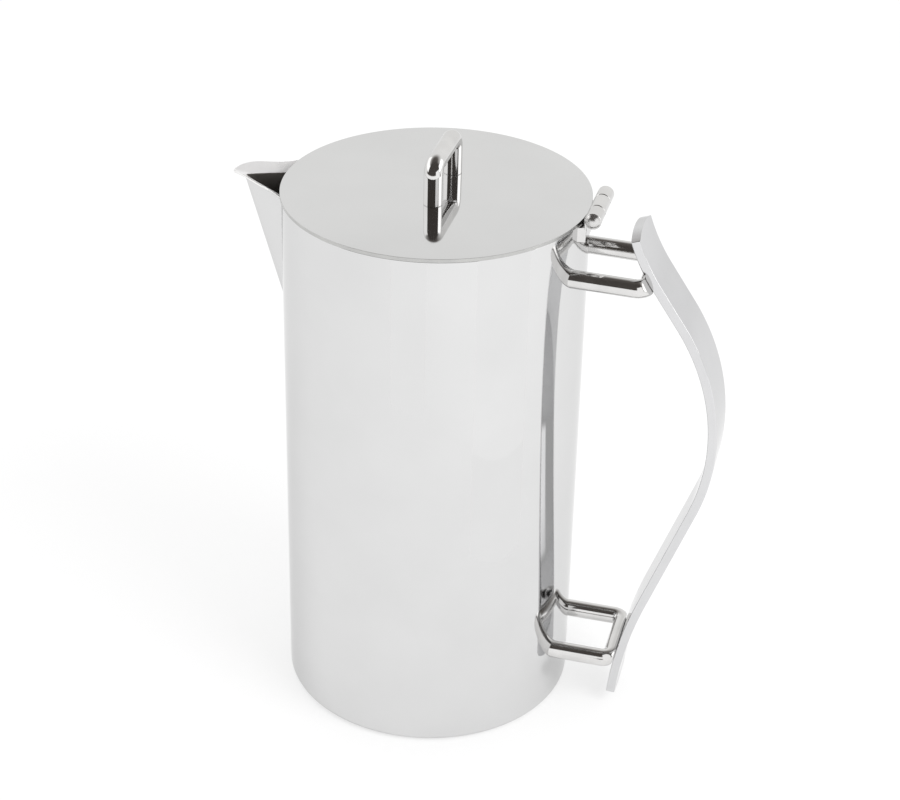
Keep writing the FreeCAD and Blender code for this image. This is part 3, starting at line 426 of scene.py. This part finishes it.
def makeLid():
    # crowned sheet: two spherical faces joined by a rounded edge, carried round the axis
    radius, gauge, edge, low = lid["radius"], lid["gauge"], lid["edge"], lid["lowEdge"]
    first, rows, end = lid["firstRow"], lid["rows"], lid["rowsEnd"]
    lowEnd, topEnd = radius - low, radius - edge
    under = np.concatenate([[0], np.linspace(first, lowEnd - end, rows), [lowEnd - lid["lastUnder"]]])
    over = np.concatenate([[topEnd - lid["lastOver"]], np.linspace(topEnd - end, first, rows), [0]])
    lowFace = np.stack([under, lid["seat"] + lid["crown"] - crownDrop(under)], -1)
    topFace = np.stack([over, lid["seat"] + gauge + lid["crown"] - crownDrop(over)], -1)
    lowRound = arcPoints((lowEnd, lid["seat"] + low), low, lid["lowEdgeFrom"], 360, lid["lowEdgeRows"])
    topRound = arcPoints((topEnd, lid["seat"] + gauge - edge), edge, 0, lid["edgeTo"], lid["edgeRows"])
    points = revolve(np.concatenate([lowFace, lowRound, topRound, topFace]), fullTurn(lid["turns"]))
    addPiece("lid_disc", "lid_plate", "lid", [gridShell(points, wrap=True)],
             [mirrorSteel, rolledSteel, edgeSteel],
             finish=lambda centre, normal: np.select(
                 [normal[:, 2] < lid["underBelow"], normal[:, 2] < lid["edgeBelow"]], [1, 2], 0))


def makeLidRing():
    # ring profile with a round foot, carried round the axis
    top = lid["seat"] + lid["crown"] - crownDrop(lid["ringOut"]) - lid["ringSink"]
    inner, outer, foot, rows = lid["ringIn"], lid["ringOut"], lid["ringFoot"], lid["ringRows"]
    low = foot + lid["ringClear"]
    middle = (inner + outer) / 2
    half = (outer - inner) / 2
    profile = np.concatenate([arcPoints((middle, foot + half), half, 180, 360, lid["ringFootRows"]),
                              np.linspace((outer, low), (outer, top), rows),
                              np.linspace((inner, top), (inner, low), rows), [(inner, foot + half)]])
    points = revolve(profile, fullTurn(lid["ringTurns"]))
    addPiece("lid_ring", "lid_skirt", "lid", [gridShell(points, wrap=True)], [rolledSteel])


makeLid()
makeLidRing()

# Rods: the knob and the two handle brackets

rod = {"radius": 3.0, "ring": 64,
       # rows of points: close to the foot, along the leg, round each bend and along the bar
       "footRows": (0, 0.3, 1), "legStart": 2, "legEnd": 0.6, "legRows": 8, "bendRows": 17,
       "barEnd": 0.4, "barRows": 15}
knob = {"x": 2.2, "span": 25.4, "bar": 199.9, "bend": 3.5, "footRound": 0.2}
brackets = {"span": 26.0, "bend": 3.8, "groundSoft": 0.5, "startInside": 4,
            "upper": {"bar": (72.0, 166.6), "droop": 1.5}, "lower": {"bar": (68.9, 21.7), "droop": 0.5}}


def staplePath(span, bend, foot):
    # across, along path of a staple: leg, quarter bend, bar, quarter bend, leg; and its direction at each
    # point
    half = span / 2
    leg = np.concatenate([foot + np.array(rod["footRows"]),
                          np.linspace(foot + rod["legStart"], -bend - rod["legEnd"], rod["legRows"])])
    bar = np.linspace(bend - half + rod["barEnd"], half - bend - rod["barEnd"], rod["barRows"])
    first = arcPoints((bend - half, -bend), bend, 180, 90, rod["bendRows"])
    last = arcPoints((half - bend, -bend), bend, 90, 0, rod["bendRows"])
    path = np.concatenate([np.stack([np.full_like(leg, -half), leg], -1), first,
                           np.stack([bar, np.zeros_like(bar)], -1), last,
                           np.stack([np.full_like(leg, half), leg[::-1]], -1)])
    quarter = np.linspace(90, 0, rod["bendRows"])
    heading = np.concatenate([np.full(len(leg), 90.0), quarter, np.zeros(len(bar)), quarter - 90,
                              np.full(len(leg), -90.0)])
    return path, np.radians(heading)


def sweepRod(path, heading, origin, across, along):
    # circle carried along the staple: the ring lies across the direction of travel
    flat = np.cross(across, along)
    side = -np.sin(heading)[:, None] * across + np.cos(heading)[:, None] * along
    middle = origin + path[:, :1] * across + path[:, 1:] * along
    turn = np.radians(fullTurn(rod["ring"]))
    spread = np.cos(turn)[None, :, None] * side[:, None, :] + np.sin(turn)[None, :, None] * flat
    return middle[:, None, :] + rod["radius"] * spread


def endCaps(points):
    # the first and last ring as faces
    rows, columns = points.shape[:2]
    return [list(range(columns)), list(range((rows - 1) * columns, rows * columns))]


def makeKnob():
    # upright staple whose feet follow the lid's crown
    top = lid["seat"] + lid["gauge"] + lid["crown"]
    path, heading = staplePath(knob["span"], knob["bend"], top - knob["bar"])
    points = sweepRod(path, heading, np.array([knob["x"], 0, knob["bar"]]),
                      np.array([0.0, 1, 0]), np.array([0.0, 0, 1]))
    for end, near in ((0, 1), (-1, -2)):
        post = points[end].mean(0) * (1, 1, 0)
        points[end, :, 2] = top - crownDrop(np.hypot(points[end, :, 0], points[end, :, 1]))
        points[near, :, 2] = points[end, :, 2] + knob["footRound"]
        points[end, :, :2] += (post - points[end])[:, :2] * knob["footRound"] / rod["radius"]
    addPiece("lid_knob", "knob", "lid",
             [gridShell(points, wrap=True, caps=endCaps(points))], [rodSteel])


def makeBracket(place, seat):
    # level staple: the legs end on the round wall and the bar is ground to the strap's inner face, where the
    # distance left is s log(1 + exp(distance / s)), so that the flat runs softly into the round rod
    spec = brackets[place]
    droop = np.radians(spec["droop"])
    along = np.array([np.cos(droop), 0, -np.sin(droop)])
    foot = (wall["radius"] - brackets["startInside"] - spec["bar"][0]) / along[0]
    path, heading = staplePath(brackets["span"], brackets["bend"], foot)
    points = sweepRod(path, heading, np.array([spec["bar"][0], 0, spec["bar"][1]]),
                      np.array([0.0, 1, 0]), along)
    onWall = np.sqrt(wall["radius"] ** 2 - points[..., 1] ** 2)
    short = np.maximum(onWall - points[..., 0], 0) / along[0]
    points = points + short[..., None] * along
    middle, radius = seat
    away = points[..., [0, 2]] - middle
    distance = np.hypot(away[..., 0], away[..., 1])
    soft = brackets["groundSoft"]
    kept = radius + soft * np.logaddexp(0, (distance - radius) / soft)
    points[..., [0, 2]] = middle + away * (kept / distance)[..., None]
    addPiece(place + "_rod_bracket", place + "_bracket", "pot",
             [gridShell(points, wrap=True, caps=endCaps(points))], [bracketSteel])


# Handle strap

strap = {"width": 20.0, "gauge": 3.0, "corner": 0.35, "endCorner": 0.1, "endRise": 2.0,
         "top": 183.3, "topCurve": 66.0, "topFlat": 0.5, "topSeat": 32.0, "topLean": 34.2, "foot": 3.2,
         "footCurve": 150.0, "footFlat": 1.0, "footSeat": 10.9, "footLean": 20.0, "gripCurve": 76.0,
         # steps in which the S is added up, and rows of points along it, at its corners and across its face
         "lineSteps": 8000, "rows": 220, "cornerRows": 6, "faceRows": 21,
         # how far the rows across the face end from the corners, and the least radius left of a corner
         "faceClear": 0.3, "leastCorner": 1e-3}


def polar(middle, radius, degrees):
    # the point at a distance and an angle from a middle
    turn = np.radians(degrees)
    return np.array([middle[0] + radius * np.cos(turn), middle[1] + radius * np.sin(turn)])


def strapMiddles():
    # centres of the two end arcs, each seated on its bracket's bar
    half = strap["gauge"] / 2
    top = polar(brackets["upper"]["bar"], strap["topCurve"] + strap["topFlat"] + half, strap["topSeat"])
    foot = polar(brackets["lower"]["bar"], strap["footCurve"] + strap["footFlat"] + half, -strap["footSeat"])
    return top, foot


def strapLine():
    # the S: its direction turns evenly along each arc and not at all along each straight stretch
    top, foot = strapMiddles()
    topLean, footLean = np.radians([strap["topLean"], strap["footLean"]])
    high = polar(top, strap["topCurve"], 180 + strap["topLean"])
    low = polar(foot, strap["footCurve"], 180 - strap["footLean"])
    gap = low - high
    joined = np.sin(topLean + footLean)
    highRun = (gap[0] * np.cos(footLean) - gap[1] * np.sin(footLean)) / joined
    lowRun = -(gap[0] * np.cos(topLean) + gap[1] * np.sin(topLean)) / joined
    tangent = strap["gripCurve"] * np.tan((topLean + footLean) / 2)
    rise = np.arcsin((top[1] - strap["top"]) / strap["topCurve"])
    fall = np.arcsin((strap["foot"] - foot[1]) / strap["footCurve"])
    lengths = [strap["topCurve"] * (topLean - rise), highRun - tangent,
               strap["gripCurve"] * (topLean + footLean), lowRun - tangent,
               strap["footCurve"] * (footLean - fall)]
    knots = np.concatenate([[0], np.cumsum(lengths)])
    turns = np.array([rise, topLean, topLean, -footLean, -footLean, -fall])
    step = np.linspace(0, knots[-1], strap["lineSteps"] + 1)
    heading = np.interp((step[1:] + step[:-1]) / 2, knots, turns)
    start = polar(top, strap["topCurve"], 180 + np.degrees(rise))
    x = start[0] + np.concatenate([[0], np.cumsum(np.sin(heading) * np.diff(step))])
    z = start[1] - np.concatenate([[0], np.cumsum(np.cos(heading) * np.diff(step))])
    return step, x, z, np.interp(step, knots, turns)


def strapSection(inset):
    # across, thickness half loop of a rounded bar, drawn in by an inset
    half = strap["width"] / 2 - inset
    thick = strap["gauge"] / 2 - inset
    corner = max(strap["corner"] - inset, strap["leastCorner"])
    clear, rows = strap["faceClear"], strap["cornerRows"]
    face = np.linspace((corner - half + clear, thick), (half - corner - clear, thick), strap["faceRows"])
    left = arcPoints((corner - half, thick - corner), corner, 180, 90, rows)
    right = arcPoints((half - corner, thick - corner), corner, 90, 0, rows)
    return np.concatenate([[(-half, 0)], left, face, right, [(half, 0)]])


def makeStrap():
    # rounded bar section carried along the S, with both ends cut to an arc across the width
    step, lineX, lineZ, lineTurn = strapLine()
    corner = strap["endCorner"]
    turn = np.radians(np.linspace(0, 90, strap["cornerRows"]))
    endShift = corner * (1 - np.cos(turn))[:-1]
    endInset = corner * (1 - np.sin(turn))[:-1]
    share = np.linspace(0, 1, strap["rows"])
    insets = np.concatenate([endInset, np.zeros(len(share)), endInset[::-1]])
    halves = np.stack([strapSection(inset) for inset in insets])
    loop = np.concatenate([halves, halves[:, -2:0:-1] * (1, -1)], 1)
    across, thick = loop[..., 0], loop[..., 1]
    curve = (strap["width"] ** 2 / 4 + strap["endRise"] ** 2) / (2 * strap["endRise"])
    drop = curve - np.sqrt(curve ** 2 - across ** 2)
    length = step[-1]
    rows = np.concatenate([endShift, corner + share * (length - 2 * corner), length - endShift[::-1]])
    fromTop = np.concatenate([np.ones(len(endShift)), 1 - share, np.zeros(len(endShift))])
    travel = rows[:, None] + drop * (2 * fromTop - 1)[:, None]
    x = np.interp(travel, step, lineX)
    z = np.interp(travel, step, lineZ)
    heading = np.interp(travel, step, lineTurn)
    points = np.stack([x + thick * np.cos(heading), across, z + thick * np.sin(heading)], -1)
    columns = points.shape[1]
    half = np.arange(halves.shape[1])
    other = (columns - half) % columns
    caps = []
    for row in (0, len(rows) - 1):
        quads = np.stack([half[:-1], half[1:], other[1:], other[:-1]], -1) + row * columns
        caps += quads[1:-1].tolist()
        caps.append(quads[0, :3].tolist())
        caps.append(quads[-1, [0, 1, 3]].tolist())
    addPiece("strap_handle", "handle_strap", "pot",
             [gridShell(points, wrap=True, caps=caps)], [strapSteel])


topMiddle, footMiddle = strapMiddles()
makeKnob()
makeBracket("upper", (topMiddle, strap["topCurve"] + strap["gauge"] / 2))
makeBracket("lower", (footMiddle, strap["footCurve"] + strap["gauge"] / 2))
makeStrap()

# Hinge

hinge = {"x": 53.4, "z": 187.0, "knuckle": 2.7, "barrel": 11.1, "middle": 4.2, "gap": 0.2, "edge": 0.3,
         "pin": 1.2, "head": 2.45, "headRise": 1.2, "shoulder": 2.3, "shoulderIn": 0.9,
         "blockRound": 0.5, "blockOut": 51.5, "blockLow": 179.2, "blockTop": 184.2,
         "plateIn": 50.9, "plateSink": 0.2, "tabLow": 185.0, "tabTop": 186.2, "tabEdge": 0.2,
         # rows of points on each rounded edge, round the knuckles, on the wall side and on the heads
         "edgeRows": 5, "plateTurns": 57, "tabTurns": 65, "backRows": 25, "headRows": 15, "pinTurns": 64,
         "mitreLimit": 0.5}


def prism(profile, ends, edge):
    # closed x, z profile carried along y, drawn in a little at both ends to round the edges there: each point
    # goes in along the sum of its two sides' normals, divided by one plus the cosine of the angle between
    ahead = unit(np.roll(profile, -1, 0) - profile)
    behind = np.roll(ahead, 1, 0)
    normal = np.stack([ahead[:, 1] + behind[:, 1], -ahead[:, 0] - behind[:, 0]], -1)
    normal = normal / np.maximum(1 + (ahead * behind).sum(1, keepdims=True), hinge["mitreLimit"])
    turn = np.radians(np.linspace(0, 90, hinge["edgeRows"]))
    inset = edge * (1 - np.sin(turn))
    shift = edge * (1 - np.cos(turn))
    insets = np.concatenate([inset, inset[::-1]])
    places = np.concatenate([ends[0] + shift, ends[1] - shift[::-1]])
    flat = profile[None] - insets[:, None, None] * normal[None]
    return np.stack([flat[..., 0], places[:, None] + 0 * flat[..., 0], flat[..., 1]], -1)


def prismShell(profile, ends, edge):
    # the prism with both its ends closed
    points = prism(profile, ends, edge)
    return gridShell(points, wrap=True, caps=endCaps(points))


def makeHingeFoot():
    # two knuckles on upright plates, standing on a block that is shaped to the wall and slopes in at its
    # shoulders
    centre = (hinge["x"], hinge["z"])
    reach = np.degrees(np.arccos((hinge["blockOut"] - hinge["x"]) / hinge["knuckle"]))
    low = hinge["blockTop"] - hinge["plateSink"]
    plate = np.concatenate([[(hinge["plateIn"], low)], [(hinge["blockOut"], low)],
                            arcPoints(centre, hinge["knuckle"], -reach, 180, hinge["plateTurns"])])
    inner = hinge["middle"] + hinge["gap"]
    wide = hinge["barrel"]
    shells = [prismShell(plate, ends, hinge["edge"]) for ends in ((-wide, -inner), (inner, wide))]
    edge, rows = hinge["blockRound"], hinge["edgeRows"]
    y = np.linspace(-wide, wide, hinge["backRows"])
    back = np.stack([np.sqrt(wall["radius"] ** 2 - y ** 2), y], -1)
    front = np.concatenate([arcPoints((hinge["blockOut"] - edge, wide - edge), edge, 90, 0, rows),
                            arcPoints((hinge["blockOut"] - edge, edge - wide), edge, 0, -90, rows)])
    outline = np.concatenate([back, front])
    # level by level, the front and the ends are drawn in by the round at the foot, and the ends by the
    # shoulders at the top
    turn = np.radians(np.linspace(0, 90, rows))
    inset = np.stack([np.concatenate([edge * (1 - np.sin(turn)), [0, 0]]),
                      np.concatenate([edge * (1 - np.sin(turn)), [0, hinge["shoulderIn"]]])], -1)
    level = np.concatenate([hinge["blockLow"] + edge * (1 - np.cos(turn)),
                            [hinge["blockTop"] - hinge["shoulder"], hinge["blockTop"]]])
    pull = np.where(np.arange(len(outline)) < len(back), 0.0, 1.0)
    middle = np.array([hinge["blockOut"], 0.0])
    toward = np.sign(outline - middle) * pull[:, None]
    toward[:, 0] = pull
    flat = outline[None] - inset[:, None, :] * toward[None]
    block = np.concatenate([flat, level[:, None, None] + 0 * flat[..., :1]], -1)
    shells.append(gridShell(block, wrap=True, caps=endCaps(block)))
    addPiece("hinge_base", "hinge_foot", "pot", shells, [rodSteel])


def makeHingeLeaf():
    # the lid's knuckle with the short tab that joins it to the lid's edge
    centre = (hinge["x"], hinge["z"])
    lowTurn = -180 - np.degrees(np.arcsin((hinge["tabLow"] - hinge["z"]) / hinge["knuckle"]))
    topTurn = 180 - np.degrees(np.arcsin((hinge["tabTop"] - hinge["z"]) / hinge["knuckle"]))
    root = np.sqrt(lid["radius"] ** 2 - hinge["middle"] ** 2)
    leaf = np.concatenate([[(root, hinge["tabTop"])], [(root, hinge["tabLow"])],
                           arcPoints(centre, hinge["knuckle"], lowTurn, topTurn, hinge["tabTurns"])])
    addPiece("hinge_leaf", "hinge_lid_leaf", "lid",
             [prismShell(leaf, (-hinge["middle"], hinge["middle"]), hinge["tabEdge"])], [rodSteel])


def makeHingePin():
    # radius along y carried round the hinge axis: a shank with a domed head at each end
    head, rise, half = hinge["head"], hinge["headRise"], hinge["barrel"]
    dome = (head ** 2 + rise ** 2) / (2 * rise)
    reach = np.degrees(np.arcsin((dome - rise) / dome))
    top = arcPoints((0, half + rise - dome), dome, 90, reach, hinge["headRows"])
    profile = np.concatenate([top, [(hinge["pin"], half)], [(hinge["pin"], -half)], top[::-1] * (1, -1)])
    turn = np.radians(fullTurn(hinge["pinTurns"]))
    radius, along = profile[:, :1], profile[:, 1:]
    points = np.stack([hinge["x"] + radius * np.cos(turn), along + 0 * turn[None],
                       hinge["z"] + radius * np.sin(turn)], -1)
    addPiece("hinge_rivet", "hinge_pin", "pot", [gridShell(points, wrap=True)],
             [rivetSteel])


makeHingeFoot()
makeHingeLeaf()
makeHingePin()

# Floor, studio and camera

studio = {
    "front": (0.247, -0.969, 0.0), "right": (0.969, 0.247, 0.0),
    "floor": "#FAFAFA", "floorSize": 6.0, "floorDrop": 0.0002, "floorWhite": 0.65, "floorMirrored": 0.5,
    # what mirrors see from the horizon to overhead, towards the camera and away from it
    "frontTones": ((0.0, "#F4F4F3"), (0.02, "#C8C6C3"), (0.05, "#6A6662"), (0.10, "#4A4643")),
    "backTones": ((0.45, "#FDFDFC"), (0.56, "#F2F2F1"), (0.67, "#DCDBDA"), (0.77, "#BCBAB8"),
                  (0.85, "#908D8A"), (0.91, "#686461"), (0.98, "#595552")),
    # cosines from the camera's line of sight between which the first tones fade into the second
    "towardsAway": (-0.3, 0.15),
    # soft boxes: from one bearing to another, counted from the camera's place round to its right, the rise of
    # their edges, and how bright
    "boxes": ({"from": 72, "to": 122, "low": 0.04, "high": 0.54, "level": 2.2},
              {"from": -148, "to": -70, "low": 0.20, "high": 0.68, "level": 1.45}),
    "boxSoft": 0.05, "lamp": {"bearing": 50, "height": 42, "distance": 1.5, "size": 0.9, "power": 9.0},
    # white cards that only mirrors see: a wide one in front, its stem, and a tall one by the handle, which is
    # a little brighter at its top
    "cards": ({"from": (-0.9, -0.262), "to": (0.9, -0.262), "low": 0.08, "high": 0.2, "level": 1.105},
              {"from": (-0.07, -0.262), "to": (0.04, -0.262), "low": 0.004, "high": 0.08, "level": 1.105},
              {"from": (0.102, -0.119), "to": (0.149, -0.034), "low": 0.003, "high": 0.05, "level": 1.108},
              {"from": (0.102, -0.119), "to": (0.149, -0.034), "low": 0.05, "high": 0.25, "level": 1.14})}


def makeFloor():
    # a large pale sheet that keeps the pot's soft shadow, partly lifted to white for the eye and the mirrors
    half = studio["floorSize"] / 2
    mesh = bpy.data.meshes.new("floor")
    corners = [(-half, -half, 0), (half, -half, 0), (half, half, 0), (-half, half, 0)]
    mesh.from_pydata(corners, [], [(0, 1, 2, 3)])
    floor = bpy.data.objects.new("floor", mesh)
    bpy.context.scene.collection.objects.link(floor)
    floor.location.z = -studio["floorDrop"]
    material = bpy.data.materials.new("matt white paper")
    material.use_nodes = True
    tree = material.node_tree
    tree.nodes.clear()
    paper = addNode(tree, "ShaderNodeBsdfDiffuse", {"Color": linear(studio["floor"])})
    white = addNode(tree, "ShaderNodeEmission", {"Color": (1, 1, 1, 1), "Strength": 1.0})
    path = addNode(tree, "ShaderNodeLightPath")
    seen = addNode(tree, "ShaderNodeMath", {0: path.outputs["Is Camera Ray"], 1: studio["floorWhite"]},
                   operation="MULTIPLY")
    part = addNode(tree, "ShaderNodeMath", {0: path.outputs["Is Glossy Ray"], 1: studio["floorMirrored"],
                                            2: seen.outputs["Value"]}, operation="MULTIPLY_ADD")
    shown = addNode(tree, "ShaderNodeMixShader", {0: part.outputs["Value"], 1: paper.outputs["BSDF"],
                                                  2: white.outputs["Emission"]})
    addNode(tree, "ShaderNodeOutputMaterial", {"Surface": shown.outputs["Shader"]})
    mesh.materials.append(material)


def bearingAxis(degrees):
    # level direction at a bearing that is counted from the camera's place round to its right
    turn = np.radians(degrees)
    return np.cos(turn) * np.array(studio["front"]) + np.sin(turn) * np.array(studio["right"])


def makeWorld():
    # plain white to the eye and on the paper; mirrors see a dim room towards the camera and two soft boxes
    world = bpy.data.worlds.new("studio")
    bpy.context.scene.world = world
    world.use_nodes = True
    tree = world.node_tree
    tree.nodes.clear()
    direction = addNode(tree, "ShaderNodeTexCoord").outputs["Generated"]
    front = np.array(studio["front"])
    tones = []
    rise = addNode(tree, "ShaderNodeVectorMath", {0: direction, 1: (0, 0, 1)}, operation="DOT_PRODUCT")
    for stops in ("frontTones", "backTones"):
        ramp = addNode(tree, "ShaderNodeValToRGB", {"Fac": rise.outputs["Value"]})
        while len(ramp.color_ramp.elements) < len(studio[stops]):
            ramp.color_ramp.elements.new(1.0)
        for element, (place, tone) in zip(ramp.color_ramp.elements, studio[stops]):
            element.position = place
            element.color = linear(tone)
        tones.append(ramp.outputs["Color"])
    away = addNode(tree, "ShaderNodeVectorMath", {0: direction, 1: tuple(-front)}, operation="DOT_PRODUCT")
    towards, beyond = studio["towardsAway"]
    behind = addNode(tree, "ShaderNodeMapRange",
                     {"Value": away.outputs["Value"], "From Min": towards, "From Max": beyond},
                     interpolation_type="SMOOTHSTEP")
    room = addNode(tree, "ShaderNodeMix", {0: behind.outputs["Result"], 6: tones[0], 7: tones[1]},
                   data_type="RGBA")
    soft = studio["boxSoft"]
    for box in studio["boxes"]:
        sides = [(bearingAxis(box["from"] + 90), 0), (bearingAxis(box["to"] - 90), 0),
                 (np.array([0, 0, 1]), box["low"]), (np.array([0, 0, -1]), -box["high"])]
        mask = 1.0
        for axis, offset in sides:
            reach = addNode(tree, "ShaderNodeVectorMath", {0: direction, 1: tuple(axis)},
                            operation="DOT_PRODUCT")
            inside = addNode(tree, "ShaderNodeMapRange",
                             {"Value": reach.outputs["Value"],
                              "From Min": offset - soft, "From Max": offset + soft},
                             interpolation_type="SMOOTHSTEP")
            mask = addNode(tree, "ShaderNodeMath", {0: mask, 1: inside.outputs["Result"]},
                           operation="MULTIPLY").outputs["Value"]
        room = addNode(tree, "ShaderNodeMix", {0: mask, 6: room.outputs[2], 7: (*[box["level"]] * 3, 1.0)},
                       data_type="RGBA")
    path = addNode(tree, "ShaderNodeLightPath")
    seen = addNode(tree, "ShaderNodeBackground", {"Color": (1, 1, 1, 1), "Strength": 1.0})
    mirrored = addNode(tree, "ShaderNodeBackground", {"Color": room.outputs[2], "Strength": 1.0})
    chosen = addNode(tree, "ShaderNodeMixShader",
                     {0: path.outputs["Is Glossy Ray"], 1: seen.outputs["Background"],
                      2: mirrored.outputs["Background"]})
    addNode(tree, "ShaderNodeOutputWorld", {"Surface": chosen.outputs["Shader"]})


def makeCards():
    # upright white cards round the pot, which only mirrors see
    corners = []
    for card in studio["cards"]:
        corners += [(*card[side], card[level]) for side, level in
                    (("from", "low"), ("to", "low"), ("to", "high"), ("from", "high"))]
    mesh = bpy.data.meshes.new("white_cards")
    mesh.from_pydata(corners, [], np.arange(len(corners)).reshape(-1, 4).tolist())
    board = bpy.data.objects.new("white_cards", mesh)
    bpy.context.scene.collection.objects.link(board)
    for face, card in zip(mesh.polygons, studio["cards"]):
        material = bpy.data.materials.new("lit white card")
        material.use_nodes = True
        tree = material.node_tree
        tree.nodes.clear()
        glow = addNode(tree, "ShaderNodeEmission", {"Color": (1, 1, 1, 1), "Strength": card["level"]})
        addNode(tree, "ShaderNodeOutputMaterial", {"Surface": glow.outputs["Emission"]})
        mesh.materials.append(material)
        face.material_index = face.index
    board.visible_camera = board.visible_diffuse = board.visible_shadow = False


def makeLamp():
    # one large soft lamp from the right, for the shadow on the paper
    lamp = studio["lamp"]
    height = np.radians(lamp["height"])
    aim = np.cos(height) * bearingAxis(lamp["bearing"]) + np.array([0, 0, np.sin(height)])
    data = bpy.data.lights.new("soft lamp", "AREA")
    data.shape = "DISK"
    data.size = lamp["size"]
    data.energy = lamp["power"]
    light = bpy.data.objects.new("soft lamp", data)
    light.location = aim * lamp["distance"]
    light.rotation_euler = Vector(aim).to_track_quat("Z", "Y").to_euler()
    light.visible_glossy = False
    bpy.context.scene.collection.objects.link(light)


view = {"azimuth": 14.3, "elevation": 31.0293, "distance": 750.04, "aim": (0.0, 0.0, 95.0), "roll": 0.9913,
        "lens": 87.346, "sensor": 36.0, "shift": (0.01988, 0.03566), "clipStart": 0.01}


def makeCamera():
    # the photograph's viewpoint: axes from azimuth, elevation and a small roll
    azimuth, elevation, roll = np.radians([view["azimuth"], view["elevation"], view["roll"]])
    right = np.array([np.cos(azimuth), np.sin(azimuth), 0])
    level = np.array([np.sin(azimuth), -np.cos(azimuth), 0])
    back = np.cos(elevation) * level + np.array([0, 0, np.sin(elevation)])
    up = np.cross(back, right)
    axes = [np.cos(roll) * right + np.sin(roll) * up, np.cos(roll) * up - np.sin(roll) * right, back]
    place = (np.array(view["aim"]) + back * view["distance"]) * millimetre
    data = bpy.data.cameras.new("camera")
    data.lens = view["lens"]
    data.sensor_width = view["sensor"]
    data.shift_x, data.shift_y = view["shift"]
    data.clip_start = view["clipStart"]
    camera = bpy.data.objects.new("camera", data)
    rows = zip(np.stack(axes, 1).tolist(), place.tolist())
    camera.matrix_world = Matrix([(*row, offset) for row, offset in rows] + [(0, 0, 0, 1)])
    bpy.context.scene.collection.objects.link(camera)
    bpy.context.scene.camera = camera


makeFloor()
makeWorld()
makeCards()
makeLamp()
makeCamera()
bpy.context.scene.view_settings.view_transform = "Standard"
print("floor, studio and camera set")
